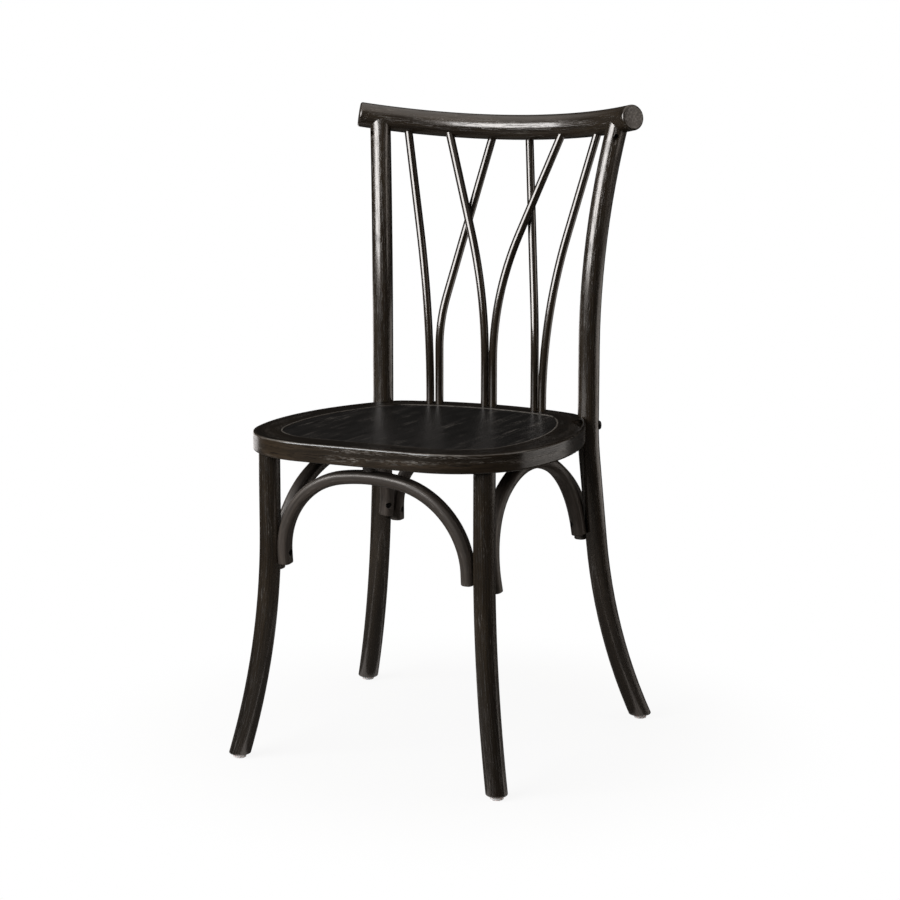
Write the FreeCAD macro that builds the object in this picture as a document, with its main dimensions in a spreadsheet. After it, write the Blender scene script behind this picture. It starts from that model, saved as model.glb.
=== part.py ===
import FreeCAD, Part
import math
import operator
import os
from collections import namedtuple

import Sketcher
from FreeCAD import Placement, Rotation, Vector

# Bentwood dining chair. Millimetres, +Z up, the chair faces -Y, floor at z = 0.
# Right is +X, left is -X. Lengths are in mm and angles in degrees.

SIZES = {
    # Seat frame outline and section
    "seat_height": 450.0,
    "seat_thickness": 25.5,
    "seat_half_width": 217.0,
    "seat_widest_forward": 67.0,
    "seat_front": 242.8,
    "seat_rear": 176.0,
    "seat_rear_radius": 380.0,
    "seat_rear_corner": 50.0,
    "seat_side_radius": 360.0,
    "seat_front_corner": 125.0,
    "seat_edge_round": 2.5,
    "rim_width": 40.0,
    "panel_ledge": 44.0,
    "panel_corner": 30.0,
    "opening_corner": 20.0,
    "panel_thickness": 9.0,
    "panel_recess": 0.8,
    "panel_gap": 0.25,
    "panel_edge_round": 0.6,
    "grip_lip": 3.5,
    "grip_width": 15.5,
    "grip_depth": 8.5,
    "grip_first_angle": 16.1,
    "grip_deepest_angle": 25.8,
    "grip_last_angle": 29.0,
    # Rear legs
    "rear_leg_diameter": 30.2,
    "post_outset": 10.1,
    "post_bearing": 33.0,
    "post_bend_above_seat": 95.0,
    "post_joint_x": 189.4,
    "post_joint_forward": 1.8,
    "rear_foot_bearing": 44.6,
    "rear_knee_below_seat": 10.0,
    "rear_knee_radius": 500.0,
    "rear_lean": 5.7,
    "rear_foot_bend_height": 270.0,
    "rear_foot_radius": 830.0,
    # Front legs
    "front_leg_diameter": 29.2,
    "front_leg_inset": 19.1,
    "front_leg_angle": 44.85,
    "front_foot_bearing": 42.5,
    "front_foot_bend_height": 320.0,
    "front_foot_radius": 1082.0,
    "front_tenon_diameter": 20.0,
    "front_tenon_length": 18.0,
    # Top rail
    "rail_diameter": 36.2,
    "rail_half_width": 217.2,
    "rail_bow_radius": 399.5,
    "rail_tilt": 16.3,
    "rail_mid_above_seat": 400.9,
    "rail_mid_back": 225.3,
    "rail_end_round": 3.0,
    # Spindles
    "spindle_diameter": 12.0,
    "spindle_tenon_diameter": 9.0,
    "spindle_tenon_length": 12.0,
    "spindle_socket_depth": 10.0,
    "outer_foot_x": 90.0,
    "outer_top_x": 154.0,
    "outer_bend_start": 10.0,
    "outer_end_straight": 163.3,
    "outer_top_back": 0.0,
    "inner_foot_x": 76.5,
    "inner_top_x": 27.1,
    "inner_bend_start": 82.0,
    "inner_end_straight": 257.5,
    "inner_top_back": 7.6,
    "middle_foot_x": 6.5,
    "middle_top_x": 93.8,
    "middle_bend_start": 67.0,
    "middle_end_straight": 167.7,
    "middle_top_back": -5.4,
    # Arched braces
    "brace_width": 20.5,
    "brace_thickness": 17.5,
    "brace_edge_round": 7.0,
    "brace_end_round": 2.0,
    "front_brace_crown_radius": 260.0,
    "front_brace_shoulder_radius": 115.0,
    "front_brace_lean": 5.5,
    "rear_brace_crown_radius": 180.0,
    "rear_brace_shoulder_radius": 95.0,
    "side_brace_crown_radius": 197.0,
    "side_brace_shoulder_radius": 116.0,
    "brace_spacer_diameter": 20.0,
    "brace_spacer_thickness": 11.0,
    "brace_screw_above_end": 16.0,
    "brace_leg_gap": 0.2,
    "front_brace_end_drop": 178.0,
    "rear_brace_end_drop": 182.0,
    "front_brace_setback": 2.0,
    "rear_brace_setback": 4.5,
    "side_brace_front_end_drop": 191.0,
    "side_brace_rear_end_drop": 171.0,
    "side_brace_rear_bearing": 45.0,
    "side_brace_front_outset": 3.0,
    "side_brace_inward_lean": 7.7,
    # Fastenings
    "screw_head_diameter": 8.0,
    "screw_head_height": 2.6,
    "screw_recess_diameter": 9.0,
    "screw_recess_depth": 4.5,
    "screw_shank_diameter": 4.0,
    "screw_clearance": 0.4,
    "screw_grip_in_wood": 11.5,
    "screw_slot_width": 1.2,
    "screw_slot_length": 5.0,
    "screw_slot_depth": 1.4,
    "rail_screw_length": 27.0,
    "rail_screw_seat": 22.0,
    "rail_screw_hole_diameter": 7.4,
    "rail_screw_head_diameter": 6.6,
    "rail_screw_angle": 27.0,
    "rail_screw_turn": 31.0,
    "bolt_below_seat_top": 13.5,
    "bolt_diameter": 6.0,
    "bolt_head_diameter": 13.0,
    "bolt_head_height": 4.2,
    "bolt_head_sink": 0.8,
    "bolt_head_clearance": 0.4,
    "bolt_past_nut": 7.0,
    "nut_diameter": 10.0,
    "nut_length": 14.0,
    "nut_edge_round": 0.5,
    "nut_behind_edge": 22.0,
    "nut_roof": 6.0,
    "glide_diameter": 18.0,
    "glide_thickness": 5.5,
    "glide_edge_round": 1.5,
    "foot_edge_round": 2.0,
    "nail_head_diameter": 7.0,
    "nail_head_height": 1.1,
    "nail_recess_depth": 1.6,
    "nail_diameter": 2.2,
    "nail_grip": 14.0,
    # Working clearances
    "fit_gap": 0.1,
    "contact_gap": 0.1,
}

# Legs are swept this far below the floor, then trimmed by a round of this many leg diameters.
FLOOR_OVERRUN = 12.0
TRIM_DIAMETERS = 4
# A swept leg's seam is turned this far from straight back or straight ahead, clear of its drilling.
REAR_SEAM_TURN = 35.0
FRONT_SEAM_TURN = 45.0
# Share of a bolt head's height that its dome takes.
BOLT_DOME_SHARE = 0.8
# Rounds of fitting an arch to its legs, and the first turns of its shoulder that may still touch a leg.
SETTLING_PASSES = 30
SHOULDER_TURNS = (0.0, 2.0, 4.0, 6.0, 8.0)
SIDES = {"left": -1.0, "right": 1.0}
X_AXIS = Vector(1, 0, 0)
Y_AXIS = Vector(0, 1, 0)
Z_AXIS = Vector(0, 0, 1)

doc = FreeCAD.newDocument("bentwood_chair")
sheet = doc.addObject("Spreadsheet::Sheet", "sizes")
NODES = {}

# One arch: its sweep path, its leg screws by name and the highest point of its crown.
Brace = namedtuple("Brace", "label placement steps screws crown")


def fill_sheet():
    """Write every driving size into the spreadsheet."""
    for row, (alias, value) in enumerate(SIZES.items(), start=1):
        sheet.set(f"A{row}", alias)
        sheet.set(f"B{row}", str(value))
        sheet.setAlias(f"B{row}", alias)
    doc.recompute()


def size(alias):
    """Read one driving size from the spreadsheet."""
    return float(sheet.get(alias))


class Derived:
    """Values worked out from the driving sizes, kept in columns of their own."""

    row = 0

    @classmethod
    def put(cls, alias, value):
        """Store a worked-out value and return the expression that reads it."""
        cls.row += 1
        sheet.set(f"D{cls.row}", alias)
        sheet.set(f"E{cls.row}", f"{value:.9f}")
        sheet.setAlias(f"E{cls.row}", alias)
        sheet.recompute()
        return sized(alias)


class Sized:
    """A number together with the sheet expression that gives it."""

    def __init__(self, text, value):
        """Keep the expression and its present value."""
        self.text = text
        self.value = value

    def joined(self, sign, other, combine):
        """Expression and value of this and another number."""
        if not isinstance(other, Sized):
            other = Sized(str(other), other)
        return Sized(f"({self.text} {sign} {other.text})", combine(self.value, other.value))

    def __add__(self, other):
        """Sum with another value or number."""
        return self.joined("+", other, operator.add)

    def __sub__(self, other):
        """Difference from another value or number."""
        return self.joined("-", other, operator.sub)

    def __mul__(self, other):
        """Product with another value or number."""
        return self.joined("*", other, operator.mul)

    def __rmul__(self, other):
        """Product with a number on the left."""
        return self * other

    def __truediv__(self, other):
        """Quotient by another value or number."""
        return self.joined("/", other, operator.truediv)


def sized(alias):
    """One value of the sheet, for binding a feature to it."""
    return Sized(f"sizes.{alias}", size(alias))


def keep(label, obj):
    """Name a finished sub-part and list it for export."""
    obj.Label = label
    NODES[label] = obj
    return obj


# Plan geometry of the chair

def seat_centres(corner=None):
    """Centres of the rear, rear corner, side and front corner arcs on the right.

    The corner value says how far the rear corner's centre lies inside the outer outline.
    """
    corner = corner or sized("seat_rear_corner")
    rear_radius, side_radius = size("seat_rear_radius"), size("seat_side_radius")
    corner_radius, front_radius = corner.value, size("seat_front_corner")
    rear = Vector(0, size("seat_rear") - rear_radius, 0)
    side = Vector(size("seat_half_width") - side_radius, -size("seat_widest_forward"), 0)
    reach_rear, reach_side = rear_radius - corner_radius, side_radius - corner_radius
    gap = side - rear
    along = (reach_rear ** 2 - reach_side ** 2 + gap.Length ** 2) / (2 * gap.Length)
    across = math.sqrt(reach_rear ** 2 - along ** 2)
    unit = Vector(gap).normalize()
    corner = rear + unit * along + Vector(unit.y, -unit.x, 0) * across
    front_y = front_radius - size("seat_front")
    reach_front = side_radius - front_radius
    front = Vector(side.x + math.sqrt(reach_front ** 2 - (front_y - side.y) ** 2), front_y, 0)
    return rear, corner, side, front


def plan_direction(degrees, side=1.0):
    """Unit vector in plan at an angle from +X, mirrored for the left side."""
    return Vector(side * math.cos(math.radians(degrees)), math.sin(math.radians(degrees)), 0)


def leaning(lean, bearing):
    """Unit vector that leans from the vertical towards a bearing in plan; degrees."""
    slope = math.radians(lean)
    return plan_direction(bearing) * math.sin(slope) + Z_AXIS * math.cos(slope)


def mirrored(point, side):
    """Copy of a right-hand point on the given side."""
    return Vector(side * point.x, point.y, point.z)


def post_axis():
    """Plan position of the right post where it passes the seat."""
    corner = seat_centres()[1]
    reach = size("seat_rear_corner") + size("post_outset")
    return corner + plan_direction(size("post_bearing")) * reach


def front_leg_axis():
    """Plan position of the right front leg at the seat."""
    centre = seat_centres()[3]
    reach = size("seat_front_corner") - size("front_leg_inset")
    return centre + plan_direction(-size("front_leg_angle")) * reach


def rail_frame():
    """Direction from the bow centre to the rail middle, and the bow's axis."""
    tilt = math.radians(size("rail_tilt"))
    return Vector(0, math.cos(tilt), -math.sin(tilt)), Vector(0, math.sin(tilt), math.cos(tilt))


def rail_centre():
    """Centre of the rail's bow."""
    outward, _ = rail_frame()
    middle = Vector(0, size("rail_mid_back"), seat_level("rail_mid_above_seat"))
    return middle - outward * size("rail_bow_radius")


def rail_point(x, back=0.0):
    """Point of the rail's axis at x, moved back by an amount."""
    outward, _ = rail_frame()
    radius = size("rail_bow_radius")
    return rail_centre() + outward * math.sqrt(radius ** 2 - x ** 2) + Vector(x, back, 0)


def rail_placement():
    """Placement that lays a bow turned about local Z onto the rail."""
    outward, axis = rail_frame()
    return Placement(rail_centre(), Rotation(outward, axis.cross(outward), axis, "XYZ"))


def seat_level(above=None, below=None):
    """Height of the seat's top, plus or minus a named size."""
    level = size("seat_height")
    if above:
        level += size(above)
    if below:
        level -= size(below)
    return level


def rear_leg_point(z):
    """Axis of the right rear leg at a height below the seat."""
    lean = math.radians(size("rear_lean"))
    knee_z, knee_radius = seat_level(below="rear_knee_below_seat"), size("rear_knee_radius")
    bend_z, bend_radius = size("rear_foot_bend_height"), size("rear_foot_radius")
    straight_z = knee_z - knee_radius * math.sin(lean)
    straight_reach = knee_radius * (1 - math.cos(lean))
    if z >= knee_z:
        reach = 0.0
    elif z >= straight_z:
        reach = knee_radius * (1 - math.cos(math.asin((knee_z - z) / knee_radius)))
    elif z >= bend_z:
        reach = straight_reach + (straight_z - z) * math.tan(lean)
    else:
        turned = math.asin(math.sin(lean) + (bend_z - z) / bend_radius)
        reach = straight_reach + (straight_z - bend_z) * math.tan(lean)
        reach += bend_radius * (math.cos(lean) - math.cos(turned))
    return post_axis() + plan_direction(size("rear_foot_bearing")) * reach + Z_AXIS * z


def front_leg_point(z):
    """Axis of the right front leg at a height below the seat."""
    drop = max(size("front_foot_bend_height") - z, 0.0)
    radius = size("front_foot_radius")
    reach = radius - math.sqrt(radius ** 2 - drop ** 2)
    return front_leg_axis() + plan_direction(-size("front_foot_bearing")) * reach + Z_AXIS * z


def leg_point(leg, z):
    """Axis of the right front or rear leg at a height below the seat."""
    return front_leg_point(z) if leg == "front" else rear_leg_point(z)


def seat_underside():
    """Height of the seat frame's lower face."""
    return size("seat_height") - size("seat_thickness")


def crown_top():
    """Height of the top of every arch, just below the spacers."""
    return seat_underside() - size("brace_spacer_thickness") - size("contact_gap")


def crown_screw_seat(brace):
    """Underside of the head of the screw up through an arch's crown."""
    return brace.crown - Z_AXIS * (size("brace_thickness") - size("screw_recess_depth"))


# Sketch and feature helpers

def new_body(name, placement=None):
    """Empty body at a placement."""
    body = doc.addObject("PartDesign::Body", name)
    body.Placement = placement or Placement()
    return body


def new_sketch(body, name, role, offset=None):
    """Sketch on one of the body's own origin planes."""
    sketch = body.newObject("Sketcher::SketchObject", name)
    plane = next(item for item in body.Origin.OriginFeatures if item.Role == role)
    sketch.AttachmentSupport = [(plane, "")]
    sketch.MapMode = "FlatFace"
    if offset:
        sketch.AttachmentOffset = offset
    return sketch


def lifted(height):
    """Attachment offset that moves a sketch along its normal."""
    return Placement(Vector(0, 0, height), Rotation())


def turned(degrees, side=1.0):
    """Attachment offset that swings an upright sketch about the vertical, mirrored on the left."""
    return Placement(Vector(), Rotation(Y_AXIS, degrees if side > 0 else 180 - degrees))


def constrain(sketch, *arguments, expression=None):
    """Add a constraint, bound to an expression when one is given."""
    index = sketch.addConstraint(Sketcher.Constraint(*arguments))
    if expression:
        sketch.setExpression(f"Constraints[{index}]", expression.text)
    return index


def pin(sketch, geometry, position, point):
    """Fix a sketch point at plan coordinates."""
    for kind, value in (("DistanceX", point.x), ("DistanceY", point.y)):
        if abs(value) < 1e-9:
            constrain(sketch, "PointOnObject", geometry, position, -2 if kind == "DistanceX" else -1)
        elif value > 0:
            constrain(sketch, kind, -1, 1, geometry, position, value)
        else:
            constrain(sketch, kind, geometry, position, -1, 1, -value)


def seam_turned(degrees):
    """Attachment offset that turns a round profile so its seam faces away from the joints."""
    return Placement(Vector(), Rotation(Z_AXIS, degrees))


def circles(body, name, diameter, points=(Vector(),), offset=None, role="XY_Plane"):
    """Sketch of equal circles with their diameter bound to the sheet."""
    sketch = new_sketch(body, name, role, offset)
    for point in points:
        circle = Part.Circle(Vector(point.x, point.y, 0), Z_AXIS, diameter.value / 2)
        index = sketch.addGeometry(circle, False)
        pin(sketch, index, 3, point)
        constrain(sketch, "Diameter", index, diameter.value, expression=diameter)
    return sketch


def pad(body, name, sketch, length, down=False):
    """Pad a sketch by a length bound to the sheet."""
    feature = body.newObject("PartDesign::Pad", name)
    feature.Profile = sketch
    feature.Reversed = down
    feature.setExpression("Length", length.text)
    doc.recompute()
    return feature


def pocket(body, name, sketch, depth=None, up=False):
    """Pocket a sketch through everything, or to a depth bound to the sheet."""
    feature = body.newObject("PartDesign::Pocket", name)
    feature.Profile = sketch
    feature.Reversed = up
    if depth:
        feature.setExpression("Length", depth.text)
    else:
        feature.Type = "ThroughAll"
    doc.recompute()
    return feature


def fillet(body, name, radius, chooses):
    """Round the edges of the body's tip that a test chooses."""
    tip = body.Tip
    names = [f"Edge{i}" for i, edge in enumerate(tip.Shape.Edges, start=1) if chooses(edge)]
    feature = body.newObject("PartDesign::Fillet", name)
    feature.Base = (tip, names)
    feature.setExpression("Radius", radius.text)
    doc.recompute()
    return feature


def at_height(*heights):
    """Edge test: the whole edge lies at one of the heights in the body's frame."""
    def chooses(edge):
        box = edge.BoundBox
        return any(abs(box.ZMin - z) < 1e-4 and abs(box.ZMax - z) < 1e-4 for z in heights)
    return chooses


def straight(length):
    """Straight step of a path; length is an expression."""
    return ("straight", length, None)


def bend(radius, angle):
    """Bend step of a path towards local +X; radius and angle are expressions."""
    return ("bend", radius, angle)


def path_sketch(body, name, steps, offset=None, down=False):
    """Upright path of tangent straights and bends from the body's origin."""
    sketch = new_sketch(body, name, "XZ_Plane", offset)
    sign = -1.0 if down else 1.0
    point, heading, previous = Vector(), 0.0, None
    for kind, first, second in steps:
        if kind == "straight":
            length = first.value
            end = point + Vector(math.sin(heading), sign * math.cos(heading), 0) * length
            index = sketch.addGeometry(Part.LineSegment(point, end), False)
            start_position, end_position = 1, 2
            constrain(sketch, "Distance", index, length, expression=first)
        else:
            radius, angle = first.value, math.radians(second.value)
            centre = point + Vector(math.cos(heading), -sign * math.sin(heading), 0) * radius
            end = centre + Vector(-math.cos(heading + angle), sign * math.sin(heading + angle), 0) * radius
            from_x = math.atan2(point.y - centre.y, point.x - centre.x)
            ends = (from_x, from_x + angle) if down else (from_x - angle, from_x)
            index = sketch.addGeometry(Part.ArcOfCircle(Part.Circle(centre, Z_AXIS, radius), *ends), False)
            start_position, end_position = (1, 2) if down else (2, 1)
            constrain(sketch, "Radius", index, radius, expression=first)
            constrain(sketch, "Angle", index, angle, expression=Sized(f"{second.text} * 1 deg", angle))
            heading += angle
        if previous is None:
            constrain(sketch, "Coincident", index, start_position, -1, 1)
            constrain(sketch, "Vertical", index)
        else:
            constrain(sketch, "Tangent", previous[0], previous[1], index, start_position)
        point, previous = end, (index, end_position)
    return sketch


def pipe(body, name, profile, path):
    """Sweep a profile along a whole path sketch."""
    doc.recompute()
    feature = body.newObject("PartDesign::AdditivePipe", name)
    feature.Profile = profile
    feature.Spine = (path, [f"Edge{i}" for i in range(1, path.GeometryCount + 1)])
    doc.recompute()
    return feature


def rod_tool(name, diameter, start, direction, length):
    """Cylinder used for drilling, from a start point along a direction."""
    tool = doc.addObject("Part::Cylinder", name)
    tool.setExpression("Radius", (diameter / 2).text)
    tool.Height = length
    tool.Placement = Placement(start, Rotation(Z_AXIS, direction))
    return tool


def cut(label, base, tools):
    """Sub-part left after the tools are taken from the base."""
    doc.recompute()
    result = base
    for tool in tools:
        step = doc.addObject("Part::Cut", f"{tool.Name}_cut")
        step.Base = result
        step.Tool = tool
        result = step
    doc.recompute()
    return keep(label, result)


def clear_hole():
    """Diameter of a hole that a screw's shank slips through."""
    return sized("screw_shank_diameter") + sized("screw_clearance")


def pilot_hole():
    """Diameter of a hole that a screw's shank bites into."""
    return sized("screw_shank_diameter") + sized("fit_gap")


def copies(label, pattern, placements):
    """One sub-part made of several equal pieces."""
    group = doc.addObject("Part::Feature", label)
    pieces = []
    for placement in placements:
        piece = pattern.Shape.copy()
        piece.Placement = placement
        pieces.append(piece)
    group.Shape = Part.makeCompound(pieces)
    return keep(label, group)


# Seat

def outline(body, name, inset, height, turn=None):
    """Closed seat outline, moved inwards by a sized value, at a height."""
    turn = turn or sized("seat_rear_corner")
    sketch = new_sketch(body, name, "XY_Plane", lifted(height))
    inwards = inset.value
    rear, corner, side, front = seat_centres(turn)
    rear_turn = math.atan2(corner.y - rear.y, corner.x - rear.x)
    side_turn = math.atan2(corner.y - side.y, corner.x - side.x)
    front_turn = math.atan2(front.y - side.y, front.x - side.x)
    line_y = inwards - size("seat_front")
    line = Part.LineSegment(Vector(-front.x, line_y, 0), Vector(front.x, line_y, 0))
    chain = [sketch.addGeometry(line, False)]
    right = (
        (sized("seat_front_corner"), front, -math.pi / 2, front_turn),
        (sized("seat_side_radius"), side, front_turn, side_turn),
        (turn, corner, side_turn, rear_turn),
    )
    middle = ((sized("seat_rear_radius"), rear, rear_turn, math.pi - rear_turn),)
    left = tuple(
        (radius, mirrored(centre, -1), math.pi - last, math.pi - first)
        for radius, centre, first, last in reversed(right)
    )
    for radius, centre, first, last in right + middle + left:
        circle = Part.Circle(centre, Z_AXIS, radius.value - inwards)
        index = sketch.addGeometry(Part.ArcOfCircle(circle, first, last), False)
        constrain(sketch, "Radius", index, circle.Radius, expression=radius - inset)
        chain.append(index)
    for index, following in zip(chain, chain[1:] + chain[:1]):
        constrain(sketch, "Tangent", index, 2, following, 1)
    constrain(sketch, "Horizontal", chain[0])
    constrain(sketch, "DistanceY", chain[0], 1, -1, 1, -line_y, expression=sized("seat_front") - inset)
    pin(sketch, chain[4], 3, rear)
    pin(sketch, chain[2], 3, side)
    pin(sketch, chain[6], 3, mirrored(side, -1))
    return sketch


def grip_sketch(body, name, height):
    """Three-cornered recesses along the rim in front of both posts."""
    sketch = new_sketch(body, name, "XY_Plane", lifted(height))
    centre = seat_centres()[2]
    outer = size("seat_side_radius") - size("grip_lip")
    swings = {"first": outer, "deepest": outer - size("grip_width"), "last": outer}
    first, last = (math.radians(size(f"grip_{end}_angle")) for end in ("first", "last"))
    for side in SIDES.values():
        middle = mirrored(centre, side)
        angles = (first, last) if side > 0 else (math.pi - last, math.pi - first)
        sketch.addGeometry(Part.ArcOfCircle(Part.Circle(middle, Z_AXIS, outer), *angles), False)
        corners = [
            middle + plan_direction(size(f"grip_{corner}_angle"), side) * swing
            for corner, swing in swings.items()
        ]
        for start, end in zip(corners, corners[1:]):
            sketch.addGeometry(Part.LineSegment(start, end), False)
    for index in range(sketch.GeometryCount):
        constrain(sketch, "Block", index)
    return sketch


def spindle_feet():
    """Foot point of each spindle on the middle of the rear rim, by kind and side."""
    radius = size("seat_rear_radius") - size("rim_width") / 2
    centre_y = size("seat_rear") - size("seat_rear_radius")
    feet = {}
    for kind in ("outer", "inner", "middle"):
        x = size(f"{kind}_foot_x")
        for name, side in SIDES.items():
            y = centre_y + math.sqrt(radius ** 2 - x ** 2)
            feet[kind, name] = Vector(side * x, y, size("seat_height"))
    return feet


def bolt_line(side):
    """Point on the post's axis at the bolt and the outward direction."""
    height = size("seat_height") - size("bolt_below_seat_top")
    return mirrored(post_axis(), side) + Z_AXIS * height, plan_direction(size("post_bearing"), side)


def bolt_seat():
    """Distance of the bolt head's seat from the post's axis."""
    return size("rear_leg_diameter") / 2 - size("bolt_head_sink")


def nut_point(side):
    """Middle of the barrel nut in the seat frame."""
    middle, outward = bolt_line(side)
    return middle - outward * (size("post_outset") + size("nut_behind_edge"))


def build_seat(braces):
    """Seat frame with its joints, and the panel let into it."""
    thickness = size("seat_thickness")
    body = new_body("seat_frame_blank", Placement(Z_AXIS * seat_underside(), Rotation()))
    pad(body, "frame_pad", outline(body, "frame_outline", Sized("0", 0.0), 0.0), sized("seat_thickness"))
    fillet(body, "frame_round", sized("seat_edge_round"), at_height(0.0, thickness))
    opening = sized("rim_width") + sized("panel_ledge")
    opening_turn = opening + sized("opening_corner")
    pocket(body, "frame_opening", outline(body, "opening_outline", opening, thickness, opening_turn))
    inner_turn = sized("rim_width") + sized("panel_corner")
    rabbet = outline(body, "rabbet_outline", sized("rim_width"), thickness, inner_turn)
    pocket(body, "frame_rabbet", rabbet, sized("panel_thickness") + sized("panel_recess"))
    posts = [mirrored(post_axis(), side) for side in SIDES.values()]
    cove = sized("rear_leg_diameter") + 2 * sized("contact_gap")
    pocket(body, "post_coves", circles(body, "cove_circles", cove, posts, lifted(thickness)))
    socket = sized("spindle_tenon_diameter") + 2 * sized("fit_gap")
    sockets = circles(body, "spindle_socket_circles", socket, spindle_feet().values(), lifted(thickness))
    pocket(body, "spindle_sockets", sockets, sized("spindle_tenon_length") + sized("fit_gap"))
    legs = [mirrored(front_leg_axis(), side) for side in SIDES.values()]
    mortice = sized("front_tenon_diameter") + 2 * sized("fit_gap")
    mortices = circles(body, "leg_mortice_circles", mortice, legs)
    pocket(body, "leg_mortices", mortices, sized("front_tenon_length") + sized("fit_gap"), up=True)
    nuts = [nut_point(side) for side in SIDES.values()]
    nut_holes = circles(body, "nut_hole_circles", sized("nut_diameter") + 2 * sized("fit_gap"), nuts)
    pocket(body, "nut_holes", nut_holes, sized("seat_thickness") - sized("nut_roof"), up=True)
    pocket(body, "grips", grip_sketch(body, "grip_arcs", thickness), sized("grip_depth"))
    tools = []
    for name, side in SIDES.items():
        middle, outward = bolt_line(side)
        reach = size("post_outset") + size("nut_behind_edge") + size("bolt_past_nut") + 2 * size("fit_gap")
        hole = sized("bolt_diameter") + 2 * sized("fit_gap")
        tools.append(rod_tool(f"frame_bolt_hole_{name}", hole, middle, -outward, reach))
    crown_length = size("crown_screw_length") + size("fit_gap")
    for brace in braces:
        seat = crown_screw_seat(brace)
        tools.append(rod_tool(f"frame_pilot_{brace.label}", pilot_hole(), seat, Z_AXIS, crown_length))
    cut("seat_frame", body, tools)

    base = size("seat_height") - size("panel_recess") - size("panel_thickness")
    panel = new_body("panel_body", Placement(Z_AXIS * base, Rotation()))
    edge = outline(panel, "panel_outline", sized("rim_width") + sized("panel_gap"), 0.0, inner_turn)
    pad(panel, "panel_pad", edge, sized("panel_thickness"))
    fillet(panel, "panel_round", sized("panel_edge_round"), at_height(size("panel_thickness")))
    keep("seat_panel", panel)


# Legs

def foot_cut(body, drop, foot):
    """Trim a leg level with the top of its glide, round its end and drill for the nail."""
    height = size("glide_thickness") - drop
    level = lifted(height)
    trim = circles(body, f"{body.Name}_trim", sized("rear_leg_diameter") * TRIM_DIAMETERS, [foot], level)
    pocket(body, f"{body.Name}_foot", trim)
    fillet(body, f"{body.Name}_foot_edge", sized("foot_edge_round"), at_height(height))
    nail = circles(body, f"{body.Name}_nail", sized("nail_diameter") + 2 * sized("fit_gap"), [foot], level)
    pocket(body, f"{body.Name}_nail_hole", nail, sized("nail_grip") + sized("fit_gap"), up=True)


def build_rear_leg(name, side, drills):
    """Rear leg: bent below the knee and above the seat, coped to the rail."""
    bend_z = seat_level("post_bend_above_seat")
    axis = mirrored(post_axis(), side)
    body = new_body(f"rear_leg_blank_{name}", Placement(axis + Z_AXIS * bend_z, Rotation()))
    seam = seam_turned(90 - side * REAR_SEAM_TURN)
    profile = circles(body, f"rear_leg_round_{name}", sized("rear_leg_diameter"), offset=seam)
    lower = [
        straight(sized("post_bend_above_seat") + sized("rear_knee_below_seat")),
        bend(sized("rear_knee_radius"), sized("rear_lean")),
        straight(sized("rear_straight_length")),
        bend(sized("rear_foot_radius"), sized("rear_foot_angle")),
    ]
    swing = size("rear_foot_bearing")
    lower_path = path_sketch(body, f"rear_leg_low_{name}", lower, turned(swing, side), True)
    pipe(body, f"rear_leg_lower_{name}", profile, lower_path)
    swing = size("post_swing")
    upper = [straight(sized("contact_gap")), bend(sized("post_radius"), sized("post_angle"))]
    upper_path = path_sketch(body, f"rear_leg_high_{name}", upper, turned(swing, side))
    pipe(body, f"rear_leg_upper_{name}", profile, upper_path)
    foot_cut(body, bend_z, mirrored(rear_leg_point(size("glide_thickness")), side) - axis)

    cope = doc.addObject("Part::Torus", f"rear_leg_cope_{name}")
    cope.setExpression("Radius1", sized("rail_bow_radius").text)
    cope.setExpression("Radius2", (sized("rail_diameter") / 2 + sized("contact_gap")).text)
    cope.Placement = rail_placement()
    middle, outward = bolt_line(side)
    radius = size("rear_leg_diameter") / 2
    hole = sized("bolt_diameter") + 2 * sized("fit_gap")
    seat = middle + outward * bolt_seat()
    spot = sized("bolt_head_diameter") + sized("bolt_head_clearance")
    tools = [
        cope,
        rod_tool(f"post_bolt_hole_{name}", hole, middle - outward * 2 * radius, outward, 4 * radius),
        rod_tool(f"post_bolt_spot_{name}", spot, seat, outward, radius),
    ]
    head, direction = rail_screw_line(side)
    bore = sized("rail_screw_hole_diameter")
    shank = sized("screw_shank_diameter") + 2 * sized("fit_gap")
    tools.append(rod_tool(f"post_screw_bore_{name}", bore, head, -direction, 4 * radius))
    tools.append(rod_tool(f"post_screw_hole_{name}", shank, head, direction, 2 * radius))
    cut(f"rear_leg_{name}", body, tools + drills)


def build_front_leg(name, side, drills):
    """Front leg: straight below the seat, bent out to the foot, tenon on top."""
    axis = mirrored(front_leg_axis(), side)
    top = seat_underside()
    body = new_body(f"front_leg_blank_{name}", Placement(axis + Z_AXIS * top, Rotation()))
    seam = seam_turned(-90 + side * FRONT_SEAM_TURN)
    profile = circles(body, f"front_leg_round_{name}", sized("front_leg_diameter"), offset=seam)
    steps = [
        straight(sized("seat_height") - sized("seat_thickness") - sized("front_foot_bend_height")),
        bend(sized("front_foot_radius"), sized("front_foot_angle")),
    ]
    swing = -size("front_foot_bearing")
    path = path_sketch(body, f"front_leg_low_{name}", steps, turned(swing, side), True)
    pipe(body, f"front_leg_pole_{name}", profile, path)
    tenon = circles(body, f"front_leg_tenon_round_{name}", sized("front_tenon_diameter"))
    pad(body, f"front_leg_tenon_{name}", tenon, sized("front_tenon_length"))
    foot_cut(body, top, mirrored(front_leg_point(size("glide_thickness")), side) - axis)
    cut(f"front_leg_{name}", body, drills)


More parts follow.
